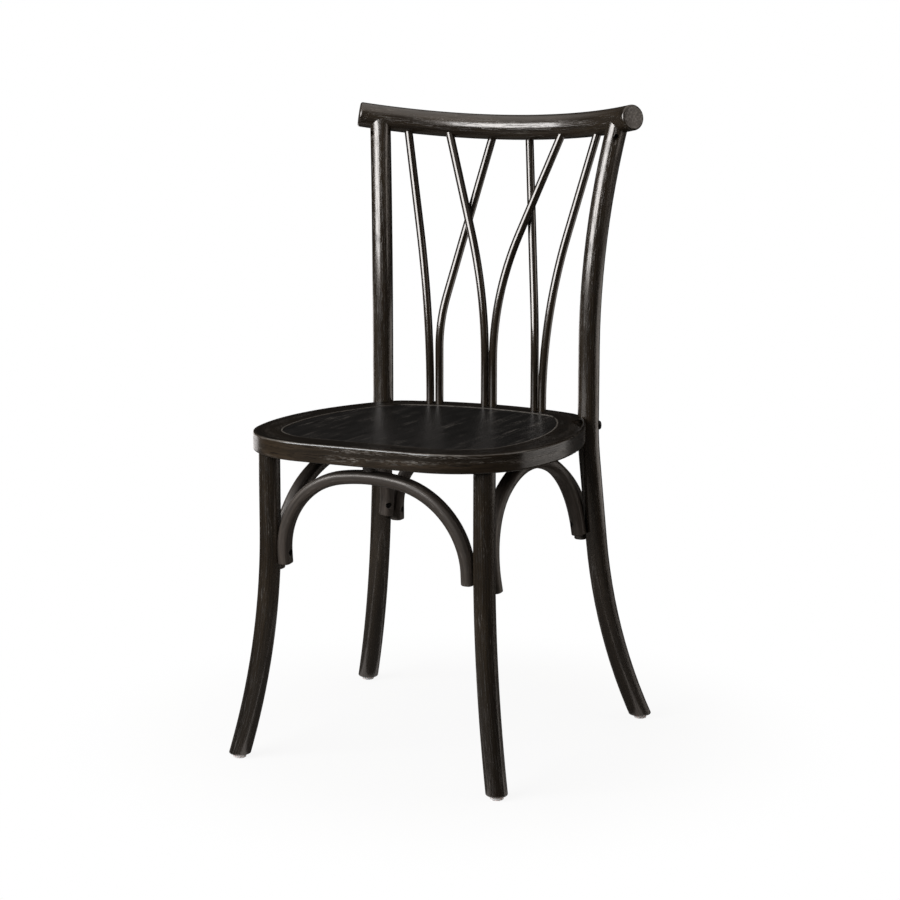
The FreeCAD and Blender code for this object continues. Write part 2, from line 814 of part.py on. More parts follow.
def work_out_values():
    """Put every value that follows from the driving sizes into the sheet, before any shape."""
    lean = math.radians(size("rear_lean"))
    straight_top = seat_level(below="rear_knee_below_seat") - size("rear_knee_radius") * math.sin(lean)
    bend_z = size("rear_foot_bend_height")
    Derived.put("rear_straight_length", (straight_top - bend_z) / math.cos(lean))
    reach = math.asin(math.sin(lean) + (bend_z + FLOOR_OVERRUN) / size("rear_foot_radius")) - lean
    Derived.put("rear_foot_angle", math.degrees(reach))
    drop = size("front_foot_bend_height") + FLOOR_OVERRUN
    Derived.put("front_foot_angle", math.degrees(math.asin(drop / size("front_foot_radius"))))
    joint = post_joint()
    offset = joint - post_axis()
    rise = joint.z - seat_level("post_bend_above_seat") - size("contact_gap")
    away = math.hypot(offset.x, offset.y)
    Derived.put("post_swing", math.degrees(math.atan2(offset.y, offset.x)))
    Derived.put("post_radius", (away ** 2 + rise ** 2) / (2 * away))
    Derived.put("post_angle", math.degrees(2 * math.atan2(away, rise)))
    for kind in ("outer", "inner", "middle"):
        _, slope, radius, _ = spindle_route(kind)
        Derived.put(f"{kind}_lean", slope)
        Derived.put(f"{kind}_bend_radius", radius)
        Derived.put(f"{kind}_straight", size(f"{kind}_end_straight") - spindle_end_short())
    sweep = 2 * math.asin(size("rail_half_width") / size("rail_bow_radius"))
    Derived.put("rail_sweep", math.degrees(sweep))
    behind_edge = size("nut_behind_edge") + size("bolt_past_nut")
    Derived.put("bolt_length", bolt_seat() + size("post_outset") + behind_edge)
    in_glide = size("glide_thickness") - size("nail_recess_depth")
    Derived.put("nail_length", in_glide + size("nail_grip"))
    below_seat = size("brace_thickness") - size("screw_recess_depth") + seat_underside() - crown_top()
    Derived.put("crown_screw_length", below_seat + size("screw_grip_in_wood"))


def post_joint():
    """Point where the right post's axis ends inside the rail."""
    return rail_point(size("post_joint_x"), -size("post_joint_forward"))


def rail_screw_line(side):
    """Head seat of a rail screw and its direction up into the rail."""
    upward = leaning(size("post_angle"), size("post_swing"))
    face = plan_direction(size("rail_screw_turn") - 90)
    across = (face - upward * face.dot(upward)).normalize()
    angle = math.radians(size("rail_screw_angle"))
    direction = upward * math.cos(angle) - across * math.sin(angle)
    head = post_joint() - direction * size("rail_screw_seat")
    return mirrored(head, side), mirrored(direction, side)


# Back

def spindle_route(kind):
    """Bearing, lean, bend radius and top point of a right-hand spindle's path."""
    foot = spindle_feet()[kind, "right"]
    top = rail_point(size(f"{kind}_top_x"), size(f"{kind}_top_back"))
    offset = top - foot
    away = math.hypot(offset.x, offset.y)
    rise = offset.z - size(f"{kind}_bend_start")
    length = size(f"{kind}_end_straight")
    # The two straights of the rod, drawn on, meet as far from the bend's start as from its end.
    tangent = (away ** 2 + rise ** 2 - length ** 2) / (2 * (rise + length))
    lean = math.atan2(away, rise - tangent)
    radius = tangent / math.tan(lean / 2)
    return math.degrees(math.atan2(offset.y, offset.x)), math.degrees(lean), radius, top


def spindle_end_short():
    """How far a spindle's end stops short of the rail's axis."""
    return size("rail_diameter") / 2 - size("spindle_socket_depth")


def build_spindles():
    """Six bent rods; returns the drilling tools for their sockets in the rail."""
    letters = {"left": "a", "right": "c"}
    tools = []
    inside = spindle_end_short()
    for kind in ("outer", "inner", "middle"):
        bearing, lean, _, top = spindle_route(kind)
        steps = [
            straight(sized(f"{kind}_bend_start")),
            bend(sized(f"{kind}_bend_radius"), sized(f"{kind}_lean")),
            straight(sized(f"{kind}_straight")),
        ]
        for name, side in SIDES.items():
            turn = bearing if side > 0 else 180 - bearing
            placement = Placement(spindle_feet()[kind, name], Rotation(Z_AXIS, turn))
            label = f"spindle_b_{name}" if kind == "middle" else f"spindle_{letters[name]}_{kind}"
            body = new_body(f"{label}_body", placement)
            profile = circles(body, f"{label}_round", sized("spindle_diameter"))
            pipe(body, f"{label}_rod", profile, path_sketch(body, f"{label}_path", steps))
            tenon = circles(body, f"{label}_tenon_round", sized("spindle_tenon_diameter"))
            pad(body, f"{label}_tenon", tenon, sized("spindle_tenon_length"), down=True)
            keep(label, body)
            along = leaning(lean, bearing)
            end = mirrored(top - along * (inside - size("fit_gap")), side)
            socket = sized("spindle_diameter") + 2 * sized("fit_gap")
            drill = 2 * size("rail_diameter")
            tools.append(rod_tool(f"{label}_socket", socket, end, -mirrored(along, side), drill))
    return tools


def build_rail(tools):
    """Bowed round rail with sockets for the spindles and pilots for its screws."""
    body = new_body("rail_blank", rail_placement())
    middle = Vector(size("rail_bow_radius"), 0, 0)
    profile = circles(body, "rail_round", sized("rail_diameter"), [middle], role="XZ_Plane")
    profile_centre = profile.ConstraintCount - 3
    profile.setExpression(f"Constraints[{profile_centre}]", sized("rail_bow_radius").text)
    doc.recompute()
    feature = body.newObject("PartDesign::Revolution", "rail_bow")
    feature.Profile = profile
    feature.ReferenceAxis = (profile, ["V_Axis"])
    feature.Midplane = True
    feature.setExpression("Angle", sized("rail_sweep").text)
    doc.recompute()
    girth = math.pi * size("rail_diameter")

    def is_end(edge):
        is_circle = edge.Curve.TypeId == "Part::GeomCircle" and edge.isClosed()
        return is_circle and abs(edge.Length - girth) < 1e-3 and abs(edge.Curve.Axis.z) < 1e-6

    fillet(body, "rail_ends", sized("rail_end_round"), is_end)
    for name, side in SIDES.items():
        head, direction = rail_screw_line(side)
        length = size("rail_screw_length") + size("fit_gap")
        tools.append(rod_tool(f"rail_pilot_{name}", pilot_hole(), head, direction, length))
    cut("top_rail", body, tools)


# Arched braces

def arch_shape(kind, half_span, rise):
    """Length of an arch's straight ends and half the turn of its crown, in radians."""
    crown, shoulder = size(f"{kind}_brace_crown_radius"), size(f"{kind}_brace_shoulder_radius")
    half_turn = math.asin((half_span - shoulder) / (crown - shoulder))
    return rise - crown + (crown - shoulder) * math.cos(half_turn), half_turn


def arch_steps(label, kind, half_span, rise):
    """Path of a three-centred arch of the front, rear or side kind, from one end to the other."""
    straight_end, half_turn = arch_shape(kind, half_span, rise)
    end = straight(Derived.put(f"{label}_end", straight_end))
    shoulder_turn = Derived.put(f"{label}_shoulder_turn", 90 - math.degrees(half_turn))
    crown_turn = Derived.put(f"{label}_crown_turn", 2 * math.degrees(half_turn))
    corner = bend(sized(f"{kind}_brace_shoulder_radius"), shoulder_turn)
    return [end, corner, bend(sized(f"{kind}_brace_crown_radius"), crown_turn), corner, end]


def section_reach(rotation, direction):
    """How far a brace's section reaches from its middle in a direction."""
    corner = size("brace_edge_round")
    thick = (size("brace_thickness") / 2 - corner) * abs(direction.dot(rotation.multVec(X_AXIS)))
    wide = (size("brace_width") / 2 - corner) * abs(direction.dot(rotation.multVec(Y_AXIS)))
    return corner + thick + wide


def beside_leg(leg, end_z, away, rotation, straight_end, shoulder):
    """Middle of a brace's end that stands off a right-hand leg and clears it further up.

    The shoulder is a vector: its length is the bend's radius, and it points where the bend goes.
    """
    upward = rotation.multVec(Z_AXIS)
    climbs = [Vector()]
    for degrees in SHOULDER_TURNS:
        turn = math.radians(degrees)
        rise = straight_end + shoulder.Length * math.sin(turn)
        climbs.append(upward * rise + shoulder * (1 - math.cos(turn)))
    foot = leg_point(leg, end_z)
    closer = max((leg_point(leg, end_z + climb.z) - foot - climb).dot(away) for climb in climbs)
    reach = size(f"{leg}_leg_diameter") / 2 + section_reach(rotation, away) + size("brace_leg_gap")
    spot = foot + away * (reach + closer)
    return Vector(spot.x, spot.y, end_z)


def brace_profile(body, name):
    """Rounded-rectangle section of a brace, centred on the body's origin."""
    sketch = new_sketch(body, name, "XY_Plane")
    half_x, half_y = size("brace_thickness") / 2, size("brace_width") / 2
    radius = size("brace_edge_round")
    inner_x, inner_y = half_x - radius, half_y - radius
    corners = (
        (Vector(-inner_x, -half_y, 0), Vector(inner_x, -half_y, 0), Vector(inner_x, -inner_y, 0), -90),
        (Vector(half_x, -inner_y, 0), Vector(half_x, inner_y, 0), Vector(inner_x, inner_y, 0), 0),
        (Vector(inner_x, half_y, 0), Vector(-inner_x, half_y, 0), Vector(-inner_x, inner_y, 0), 90),
        (Vector(-half_x, inner_y, 0), Vector(-half_x, -inner_y, 0), Vector(-inner_x, -inner_y, 0), 180),
    )
    chain = []
    for start, end, centre, first in corners:
        chain.append(sketch.addGeometry(Part.LineSegment(start, end), False))
        span = (math.radians(first), math.radians(first + 90))
        arc = Part.ArcOfCircle(Part.Circle(centre, Z_AXIS, radius), *span)
        chain.append(sketch.addGeometry(arc, False))
    for index, following in zip(chain, chain[1:] + chain[:1]):
        constrain(sketch, "Tangent", index, 2, following, 1)
    bottom, right, top, left = chain[::2]
    for index in (bottom, top):
        constrain(sketch, "Horizontal", index)
    for index in (left, right):
        constrain(sketch, "Vertical", index)
    for index in chain[3::2]:
        constrain(sketch, "Equal", chain[1], index)
    constrain(sketch, "Radius", chain[1], radius, expression=sized("brace_edge_round"))
    constrain(sketch, "DistanceX", left, 1, -1, 1, half_x, expression=sized("brace_thickness") / 2)
    constrain(sketch, "DistanceX", -1, 1, right, 1, half_x, expression=sized("brace_thickness") / 2)
    constrain(sketch, "DistanceY", bottom, 1, -1, 1, half_y, expression=sized("brace_width") / 2)
    constrain(sketch, "DistanceY", -1, 1, top, 1, half_y, expression=sized("brace_width") / 2)
    return sketch


def build_brace(brace):
    """Arch swept from one end to the other, drilled for its leg screws and its crown screw."""
    label = brace.label
    body = new_body(f"{label}_blank", brace.placement)
    profile = brace_profile(body, f"{label}_section")
    pipe(body, f"{label}_arch", profile, path_sketch(body, f"{label}_path", brace.steps))
    fillet(body, f"{label}_ends", sized("brace_end_round"), at_height(0.0))
    seat, depth = crown_screw_seat(brace), size("brace_thickness")
    tools = [tool for screw in brace.screws.values() for tool in screw.brace_tools()]
    tools.append(rod_tool(f"{label}_crown_recess", sized("screw_recess_diameter"), seat, -Z_AXIS, depth))
    tools.append(rod_tool(f"{label}_crown_hole", clear_hole(), seat, Z_AXIS, 2 * depth))
    cut(label, body, tools)


class BraceScrew:
    """Screw through a brace end into a leg, with the drilling it needs."""

    every = []

    def __init__(self, name, leg, side, middle, direction, half_depth):
        """Seat the head in a recess on the near side of the brace, and reach into the leg."""
        self.name = name
        self.direction = direction
        self.half_depth = half_depth
        self.seat = middle - direction * (half_depth - size("screw_recess_depth"))
        to_axis = mirrored(leg_point(leg, middle.z), side) - self.seat
        depth = to_axis.dot(direction)
        aside = (to_axis - direction * depth).Length
        to_face = depth - math.sqrt((size(f"{leg}_leg_diameter") / 2) ** 2 - aside ** 2)
        self.length = to_face + size("screw_grip_in_wood")
        self.length_cell = Derived.put(f"{name}_length", self.length)
        BraceScrew.every.append(self)

    def brace_tools(self):
        """Recess and clearance hole in the brace."""
        recess = sized("screw_recess_diameter")
        return [
            rod_tool(f"{self.name}_recess", recess, self.seat, -self.direction, 2 * self.half_depth),
            rod_tool(f"{self.name}_hole", clear_hole(), self.seat, self.direction, 4 * self.half_depth),
        ]

    def leg_tool(self):
        """Pilot hole in the leg."""
        depth = self.length + size("fit_gap")
        return rod_tool(f"{self.name}_pilot", pilot_hole(), self.seat, self.direction, depth)


def cross_brace(leg, setback, lean=0.0):
    """Front or rear arch between the two legs, set back from their axes and leaning forwards as it rises."""
    label = f"{leg}_brace"
    end_z, half_depth = seat_level(below=f"{label}_end_drop"), size("brace_thickness") / 2
    rotation = Rotation(X_AXIS, lean)
    across, upward = rotation.multVec(Y_AXIS), rotation.multVec(Z_AXIS)
    corner = size("brace_edge_round")
    top = corner + (half_depth - corner) * upward.z + (size("brace_width") / 2 - corner) * abs(across.z)
    rise = (crown_top() - top - end_z) / upward.z
    shoulder = -X_AXIS * size(f"{label}_shoulder_radius")
    straight_end = 0.0
    for _ in range(SETTLING_PASSES):
        low = beside_leg(leg, end_z, -X_AXIS, rotation, straight_end, shoulder) + Y_AXIS * setback
        straight_end, _ = arch_shape(leg, low.x, rise)
    steps = arch_steps(label, leg, low.x, rise)
    screw_up = upward * size("brace_screw_above_end")
    screws = {}
    for name, side in SIDES.items():
        middle = mirrored(low + screw_up, side)
        screws[name] = BraceScrew(f"{label}_screw_{name}", leg, side, middle, X_AXIS * side, half_depth)
    placement = Placement(mirrored(low, -1), rotation)
    summit = low + upward * rise
    return Brace(label, placement, steps, screws, Vector(0, summit.y, crown_top()))


def side_brace(label, side):
    """Arch from a front leg to a rear leg, leaning inwards as it rises."""
    crown, shoulder = size("side_brace_crown_radius"), size("side_brace_shoulder_radius")
    front_z = seat_level(below="side_brace_front_end_drop")
    rear_z = seat_level(below="side_brace_rear_end_drop")
    lean = size("side_brace_inward_lean")
    inwards = -plan_direction(size("side_brace_rear_bearing"))
    outset = X_AXIS * size("side_brace_front_outset")

    def turned_to(chord, hand):
        """Rotation of an arch that stands on a chord and leans inwards on the given hand."""
        slope = math.degrees(math.atan2(chord.z, math.hypot(chord.x, chord.y)))
        level = Rotation(Z_AXIS, math.degrees(math.atan2(chord.y, hand * chord.x)))
        return level.multiply(Rotation(Y_AXIS, -slope)).multiply(Rotation(X_AXIS, -hand * lean))

    rotation, straight_end = turned_to(Y_AXIS, 1.0), 0.0
    for _ in range(SETTLING_PASSES):
        bend_in = rotation.multVec(X_AXIS) * shoulder
        front_low = beside_leg("front", front_z, Y_AXIS, rotation, straight_end, bend_in) + outset
        rear_low = beside_leg("rear", rear_z, inwards, rotation, straight_end, -bend_in)
        chord = rear_low - front_low
        rotation = turned_to(chord, 1.0)
        along, across, upward = (rotation.multVec(axis) for axis in (X_AXIS, Y_AXIS, Z_AXIS))
        # The crown's highest point lies where its radius is as steep as the leaning plane allows.
        steepest = (along * along.z + upward * upward.z).normalize()
        corner = size("brace_edge_round")
        top = corner + (size("brace_thickness") / 2 - corner) * steepest.z
        top += (size("brace_width") / 2 - corner) * abs(across.z)
        middle_z = front_z + chord.z / 2
        centre = (crown_top() - top - crown * steepest.z - middle_z) / upward.z
        straight_end, _ = arch_shape("side", chord.Length / 2, centre + crown)

    steps = arch_steps(label, "side", chord.Length / 2, centre + crown)
    summit = mirrored(front_low + chord / 2 + upward * centre + steepest * crown, side)
    screw_up = upward * size("brace_screw_above_end")
    half_depth = size("brace_thickness") / 2
    rear_half = section_reach(rotation, inwards)
    screws = {
        "front": BraceScrew(
            f"{label}_screw_front", "front", side, mirrored(front_low + screw_up, side), -Y_AXIS, half_depth
        ),
        "rear": BraceScrew(
            f"{label}_screw_rear", "rear", side, mirrored(rear_low + screw_up, side),
            mirrored(-inwards, side), rear_half
        ),
    }
    placement = Placement(mirrored(front_low, side), turned_to(chord, side))
    return Brace(label, placement, steps, screws, Vector(summit.x, summit.y, crown_top()))


def build_spacers(braces):
    """Round wooden spacers between the arches and the seat frame."""
    body = new_body("brace_spacer_body")
    disc = circles(body, "brace_spacer_round", sized("brace_spacer_diameter"))
    pad(body, "brace_spacer_disc", disc, sized("brace_spacer_thickness"))
    pocket(body, "brace_spacer_hole", circles(body, "brace_spacer_bore", clear_hole()), up=True)
    top = seat_underside() - size("brace_spacer_thickness")
    spots = [Placement(Vector(brace.crown.x, brace.crown.y, top), Rotation()) for brace in braces]
    copies("brace_spacers", body, spots)


# Fastenings and glides

def headed_body(name, head, head_height, shank, length):
    """Round head below the origin and shank above it; head sizes are expressions."""
    body = new_body(name)
    pad(body, f"{name}_head", circles(body, f"{name}_head_round", head), head_height, down=True)
    pad(body, f"{name}_shank", circles(body, f"{name}_shank_round", shank), length)
    return body


def cross_slot(body):
    """Cut a cross recess into a screw head from outside."""
    head = size("screw_head_height")
    sketch = new_sketch(body, f"{body.Name}_cross", "XY_Plane", lifted(-head))
    half_width, half_length = size("screw_slot_width") / 2, size("screw_slot_length") / 2
    corners = [
        Vector(half_width, half_length, 0), Vector(half_width, half_width, 0),
        Vector(half_length, half_width, 0), Vector(half_length, -half_width, 0),
        Vector(half_width, -half_width, 0), Vector(half_width, -half_length, 0),
    ]
    points = corners + [point * -1 for point in corners]
    for start, end in zip(points, points[1:] + points[:1]):
        index = sketch.addGeometry(Part.LineSegment(start, end), False)
        constrain(sketch, "Block", index)
    pocket(body, f"{body.Name}_slot", sketch, sized("screw_slot_depth"), up=True)
    return body


def screw_pattern(name, length, head="screw_head_diameter"):
    """Cross-head screw at the origin, head below and shank up; head is a size's name."""
    height, shank = sized("screw_head_height"), sized("screw_shank_diameter")
    body = headed_body(name, sized(head), height, shank, length)
    rim = -size("screw_head_height")
    fillet(body, f"{name}_rim", sized("screw_head_height") / 3, at_height(rim))
    return cross_slot(body)


def build_brace_screws(braces):
    """All screws of the braces."""
    group = doc.addObject("Part::Feature", "brace_leg_screws")
    pieces = []
    for screw in BraceScrew.every:
        piece = screw_pattern(f"{screw.name}_body", screw.length_cell).Shape.copy()
        piece.Placement = Placement(screw.seat, Rotation(Z_AXIS, screw.direction))
        pieces.append(piece)
    group.Shape = Part.makeCompound(pieces)
    keep("brace_leg_screws", group)
    crown = screw_pattern("crown_screw_body", sized("crown_screw_length"))
    copies("brace_seat_screws", crown, [Placement(crown_screw_seat(brace), Rotation()) for brace in braces])


def build_rail_screws():
    """Screws up the angled holes of the posts into the rail."""
    pattern = screw_pattern("rail_screw_body", sized("rail_screw_length"), "rail_screw_head_diameter")
    placements = []
    for side in SIDES.values():
        head, direction = rail_screw_line(side)
        placements.append(Placement(head, Rotation(Z_AXIS, direction)))
    copies("rail_screws", pattern, placements)


def build_bolts():
    """Domed bolts through the posts and the barrel nuts they screw into."""
    bolt = headed_body(
        "seat_bolt_body", sized("bolt_head_diameter"), sized("bolt_head_height"),
        sized("bolt_diameter"), sized("bolt_length"),
    )
    dome = sized("bolt_head_height") * BOLT_DOME_SHARE
    fillet(bolt, "bolt_dome", dome, at_height(-size("bolt_head_height")))
    placements = []
    for side in SIDES.values():
        middle, outward = bolt_line(side)
        placements.append(Placement(middle + outward * bolt_seat(), Rotation(Z_AXIS, -outward)))
    copies("seat_bolts", bolt, placements)

    barrel = new_body("barrel_nut_body")
    half = size("nut_length") / 2
    rounds = circles(barrel, "nut_round", sized("nut_diameter"), offset=lifted(-half))
    pad(barrel, "nut_pad", rounds, sized("nut_length"))
    fillet(barrel, "nut_round_edges", sized("nut_edge_round"), at_height(-half, half))
    bore = sized("bolt_diameter") + sized("fit_gap")
    aside = lifted(size("nut_diameter"))
    thread = circles(barrel, "nut_thread", bore, role="YZ_Plane", offset=aside)
    pocket(barrel, "nut_cross_hole", thread)
    placements = []
    for side in SIDES.values():
        _, outward = bolt_line(side)
        placements.append(Placement(nut_point(side), Rotation(Vector(1, 0, 0), outward)))
    copies("barrel_nuts", barrel, placements)


def build_glides():
    """A plastic glide under each foot, and the nails that hold them."""
    height = size("glide_thickness")
    feet = {"front": front_leg_point(height), "rear": rear_leg_point(height)}
    spots = []
    for end, point in feet.items():
        for name, side in SIDES.items():
            spot = mirrored(Vector(point.x, point.y, 0), side)
            spots.append(Placement(spot + Z_AXIS * size("nail_recess_depth"), Rotation()))
            label = f"glide_{end}_{name}"
            body = new_body(f"{label}_body", Placement(spot, Rotation()))
            disc = circles(body, f"{label}_round", sized("glide_diameter"))
            pad(body, f"{label}_disc", disc, sized("glide_thickness"))
            fillet(body, f"{label}_edge", sized("glide_edge_round"), at_height(0.0))
            head = sized("nail_head_diameter") + 2 * sized("fit_gap")
            recess = circles(body, f"{label}_recess_round", head)
            pocket(body, f"{label}_recess", recess, sized("nail_recess_depth"), up=True)
            hole = circles(body, f"{label}_hole_round", sized("nail_diameter") + 2 * sized("fit_gap"))
            pocket(body, f"{label}_hole", hole, sized("glide_thickness") * 2, up=True)
            keep(label, body)
    nail = headed_body(
        "glide_nail_body", sized("nail_head_diameter"), sized("nail_head_height"),
        sized("nail_diameter"), sized("nail_length"),
    )
    copies("glide_nails", nail, spots)


def check_and_export():
    """Stop on a broken feature, then write one file for each sub-part."""
    doc.recompute()
    for obj in doc.Objects:
        if {"Invalid", "Error"} & set(obj.State):
            raise RuntimeError(f"{obj.Name} did not compute: {obj.State}")
    os.makedirs("parts", exist_ok=True)
    for label, obj in NODES.items():
        if obj.Shape.isNull() or not obj.Shape.isValid():
            raise RuntimeError(f"{label} has no valid shape")
        obj.Shape.exportStep(f"parts/{label}.step")


def main():
    """Build the chair from the floor up and export it."""
    fill_sheet()
    work_out_values()
    front = cross_brace("front", size("front_brace_setback"), size("front_brace_lean"))
    rear = cross_brace("rear", size("rear_brace_setback"))
    sides = {name: side_brace(f"{name}_brace", side) for name, side in SIDES.items()}
    braces = [front, rear, *sides.values()]

    for brace in braces:
        build_brace(brace)
    build_spacers(braces)
    for name, side in SIDES.items():
        screws = sides[name].screws
        build_front_leg(name, side, [front.screws[name].leg_tool(), screws["front"].leg_tool()])
        build_rear_leg(name, side, [rear.screws[name].leg_tool(), screws["rear"].leg_tool()])
    build_seat(braces)
    build_rail(build_spindles())
    build_brace_screws(braces)
    build_rail_screws()
    build_bolts()
    build_glides()
    check_and_export()


main()
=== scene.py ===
import logging
import math
from dataclasses import dataclass
from enum import Enum
from typing import Any, Mapping, Optional, Sequence, Union

import bmesh
import bpy
import numpy as np
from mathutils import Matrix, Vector


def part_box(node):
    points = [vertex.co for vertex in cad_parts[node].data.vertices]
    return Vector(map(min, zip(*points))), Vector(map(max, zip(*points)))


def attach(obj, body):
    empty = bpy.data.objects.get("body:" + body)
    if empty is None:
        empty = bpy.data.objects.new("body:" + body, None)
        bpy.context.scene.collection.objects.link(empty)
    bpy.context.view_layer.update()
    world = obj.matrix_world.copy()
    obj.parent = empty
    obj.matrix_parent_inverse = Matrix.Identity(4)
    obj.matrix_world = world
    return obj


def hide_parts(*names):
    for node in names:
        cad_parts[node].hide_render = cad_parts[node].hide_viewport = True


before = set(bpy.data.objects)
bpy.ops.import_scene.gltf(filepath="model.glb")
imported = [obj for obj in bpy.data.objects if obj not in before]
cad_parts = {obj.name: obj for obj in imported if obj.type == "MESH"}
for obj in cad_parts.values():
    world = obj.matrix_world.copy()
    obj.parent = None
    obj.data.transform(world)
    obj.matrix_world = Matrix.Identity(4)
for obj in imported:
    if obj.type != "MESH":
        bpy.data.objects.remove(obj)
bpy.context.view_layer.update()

# Looks of a black lacquered bentwood chair. Metres, +Z up, the chair faces -Y.

MM = 0.001
BODY = "root"
GRAIN = "grain"
END_GRAIN = "end_grain"
WHITE = (1.0, 1.0, 1.0)
LACQUER_IOR = 1.85
LACQUER_TINT = (1.0, 0.91, 0.84)
NOISE_ROUGHNESS = 0.55
NOISE_MIDDLE = 0.5
WELD_DISTANCE = 0.002 * MM
log = logging.getLogger("bentwood_chair")

Colour = tuple[float, float, float]
Key = Union[int, str]


# Node graphs

class Signal:
    """Output of a node, which takes part in Python expressions."""

    def __init__(self, graph: "Graph", socket: bpy.types.NodeSocket) -> None:
        """Wrap a socket of a graph's tree."""
        self.graph = graph
        self.socket = socket

    def other(self, key: Key) -> "Signal":
        """Another output of the same node."""
        return Signal(self.graph, find_socket(self.socket.node.outputs, key))

    def _math(self, operation: str, first: Any, second: Any) -> "Signal":
        """Math node on two values."""
        return self.graph.add("ShaderNodeMath", {"operation": operation}, {0: first, 1: second})

    def __add__(self, value: Any) -> "Signal":
        """Sum."""
        return self._math("ADD", self, value)

    __radd__ = __add__

    def __mul__(self, value: Any) -> "Signal":
        """Product."""
        return self._math("MULTIPLY", self, value)

    __rmul__ = __mul__

    def __sub__(self, value: Any) -> "Signal":
        """Difference."""
        return self._math("SUBTRACT", self, value)

    def __rsub__(self, value: Any) -> "Signal":
        """Difference from a value."""
        return self._math("SUBTRACT", value, self)

    def __truediv__(self, value: Any) -> "Signal":
        """Quotient."""
        return self._math("DIVIDE", self, value)

    def __pow__(self, value: Any) -> "Signal":
        """Power."""
        return self._math("POWER", self, value)

    def fraction(self) -> "Signal":
        """Part after the decimal point."""
        return self._math("FRACT", self, 0.0)

    def spread(self, low: float, high: float) -> "Signal":
        """Value that goes from low to high as this one goes from 0 to 1."""
        return low + (high - low) * self


def find_socket(sockets: Any, key: Key) -> bpy.types.NodeSocket:
    """Find a socket by its place, its identifier or its name.

    Args:
        sockets: Inputs or outputs of a node.
        key: Index, identifier or name.

    Returns:
        The socket.
    """
    if isinstance(key, int):
        return sockets[key]
    for socket in sockets:
        if socket.identifier == key:
            return socket
    return sockets[key]


class Graph:
    """Node tree of a material, of the world or of a modifier, built node by node."""

    def __init__(self, tree: bpy.types.NodeTree) -> None:
        """Start from an empty tree."""
        self.tree = tree
        tree.nodes.clear()

    def add(
        self, kind: str, settings: Optional[Mapping[str, Any]] = None,
        inputs: Optional[Mapping[Key, Any]] = None, output: Key = 0,
    ) -> Signal:
        """Add a node, set it up and link it.

        Args:
            kind: Type of the node.
            settings: Properties of the node, set before its inputs.
            inputs: Values or signals for its sockets.
            output: Which output to hand back.

        Returns:
            The chosen output.
        """
        node = self.tree.nodes.new(kind)
        for name, value in (settings or {}).items():
            setattr(node, name, value)
        for key, value in (inputs or {}).items():
            socket = find_socket(node.inputs, key)
            if isinstance(value, Signal):
                self.tree.links.new(value.socket, socket)
            elif isinstance(value, tuple) and len(value) == 3 and socket.type == "RGBA":
                socket.default_value = (*value, 1.0)
            else:
                socket.default_value = value
        if not node.outputs:
            return Signal(self, node.inputs[0])
        return Signal(self, find_socket(node.outputs, output))

    def rise(self, value: Signal, low: float, high: float) -> Signal:
        """Smooth step of a value from 0 at low to 1 at high."""
        return self.add(
            "ShaderNodeMapRange", {"interpolation_type": "SMOOTHSTEP"},
            {"Value": value, "From Min": low, "From Max": high},
        )

    def mix(self, share: Any, first: Any, second: Any) -> Signal:
        """Mix of two colours."""
        inputs = {"Factor_Float": share, "A_Color": first, "B_Color": second}
        return self.add("ShaderNodeMix", {"data_type": "RGBA"}, inputs, "Result_Color")

    def parts(self, vector: Signal) -> Signal:
        """X of a vector, with Y and Z as the other outputs."""
        return self.add("ShaderNodeSeparateXYZ", {}, {0: vector})

    def noise(self, vector: Signal, scale: Sequence[float], shift: float, octaves: float) -> Signal:
        """Noise at a vector that is scaled on each axis and shifted.

        Args:
            vector: Place to look up.
            scale: Scale on each axis, one over the size of a speck.
            shift: Offset that sets this noise apart from others.
            octaves: Levels of detail.

        Returns:
            The noise.
        """
        moved = {0: vector, 1: tuple(scale), 2: (shift, shift, shift)}
        place = self.add("ShaderNodeVectorMath", {"operation": "MULTIPLY_ADD"}, moved)
        inputs = {"Vector": place, "Scale": 1.0, "Detail": octaves, "Roughness": NOISE_ROUGHNESS}
        return self.add("ShaderNodeTexNoise", {}, inputs)

    def bump(self, height: Signal, strength: float, distance: float) -> Signal:
        """Normal bent by a height."""
        inputs = {"Strength": strength, "Distance": distance, "Height": height}
        return self.add("ShaderNodeBump", {}, inputs, "Normal")

    def finish_with(self, shader: Signal) -> None:
        """Link a shader to a material's output."""
        self.add("ShaderNodeOutputMaterial", {}, {"Surface": shader})


def new_material(name: str) -> tuple[bpy.types.Material, Graph]:
    """Make an empty node material.

    Args:
        name: Name of the material.

    Returns:
        The material and its graph.
    """
    material = bpy.data.materials.new(name)
    material.use_nodes = True
    return material, Graph(material.node_tree)


# Finishes

@dataclass(frozen=True)
class Streaks:
    """Noise drawn out along the grain.

    Attributes:
        across: Size of a streak across the grain.
        along: Size of a streak along the grain.
        shift: Offset that sets this noise apart from others.
        octaves: Levels of detail.
        fade: Values of the noise between which its mask goes from 0 to 1.
    """

    across: float
    along: float
    shift: float
    octaves: float
    fade: tuple[float, float] = (0.0, 1.0)

    def noise(self, graph: Graph, grain: Signal) -> Signal:
        """The plain noise at the straightened place on a piece."""
        scale = (1 / self.across, 1 / self.across, 1 / self.along)
        return graph.noise(grain, scale, self.shift, self.octaves)

    def mask(self, graph: Graph, grain: Signal) -> Signal:
        """The noise faded in from 0 to 1."""
        return graph.rise(self.noise(graph, grain), *self.fade)


def open_pores(across: float, along: float) -> Streaks:
    """Pores of the given size across and along the grain."""
    return Streaks(across, along, shift=7.7, octaves=1.0, fade=(0.54, 0.63))


def pale_dashes(across: float, along: float, start: float) -> Streaks:
    """Dashes of the given size, of which a higher start leaves fewer."""
    return Streaks(across, along, shift=23.9, octaves=2.0, fade=(start, start + 0.06))


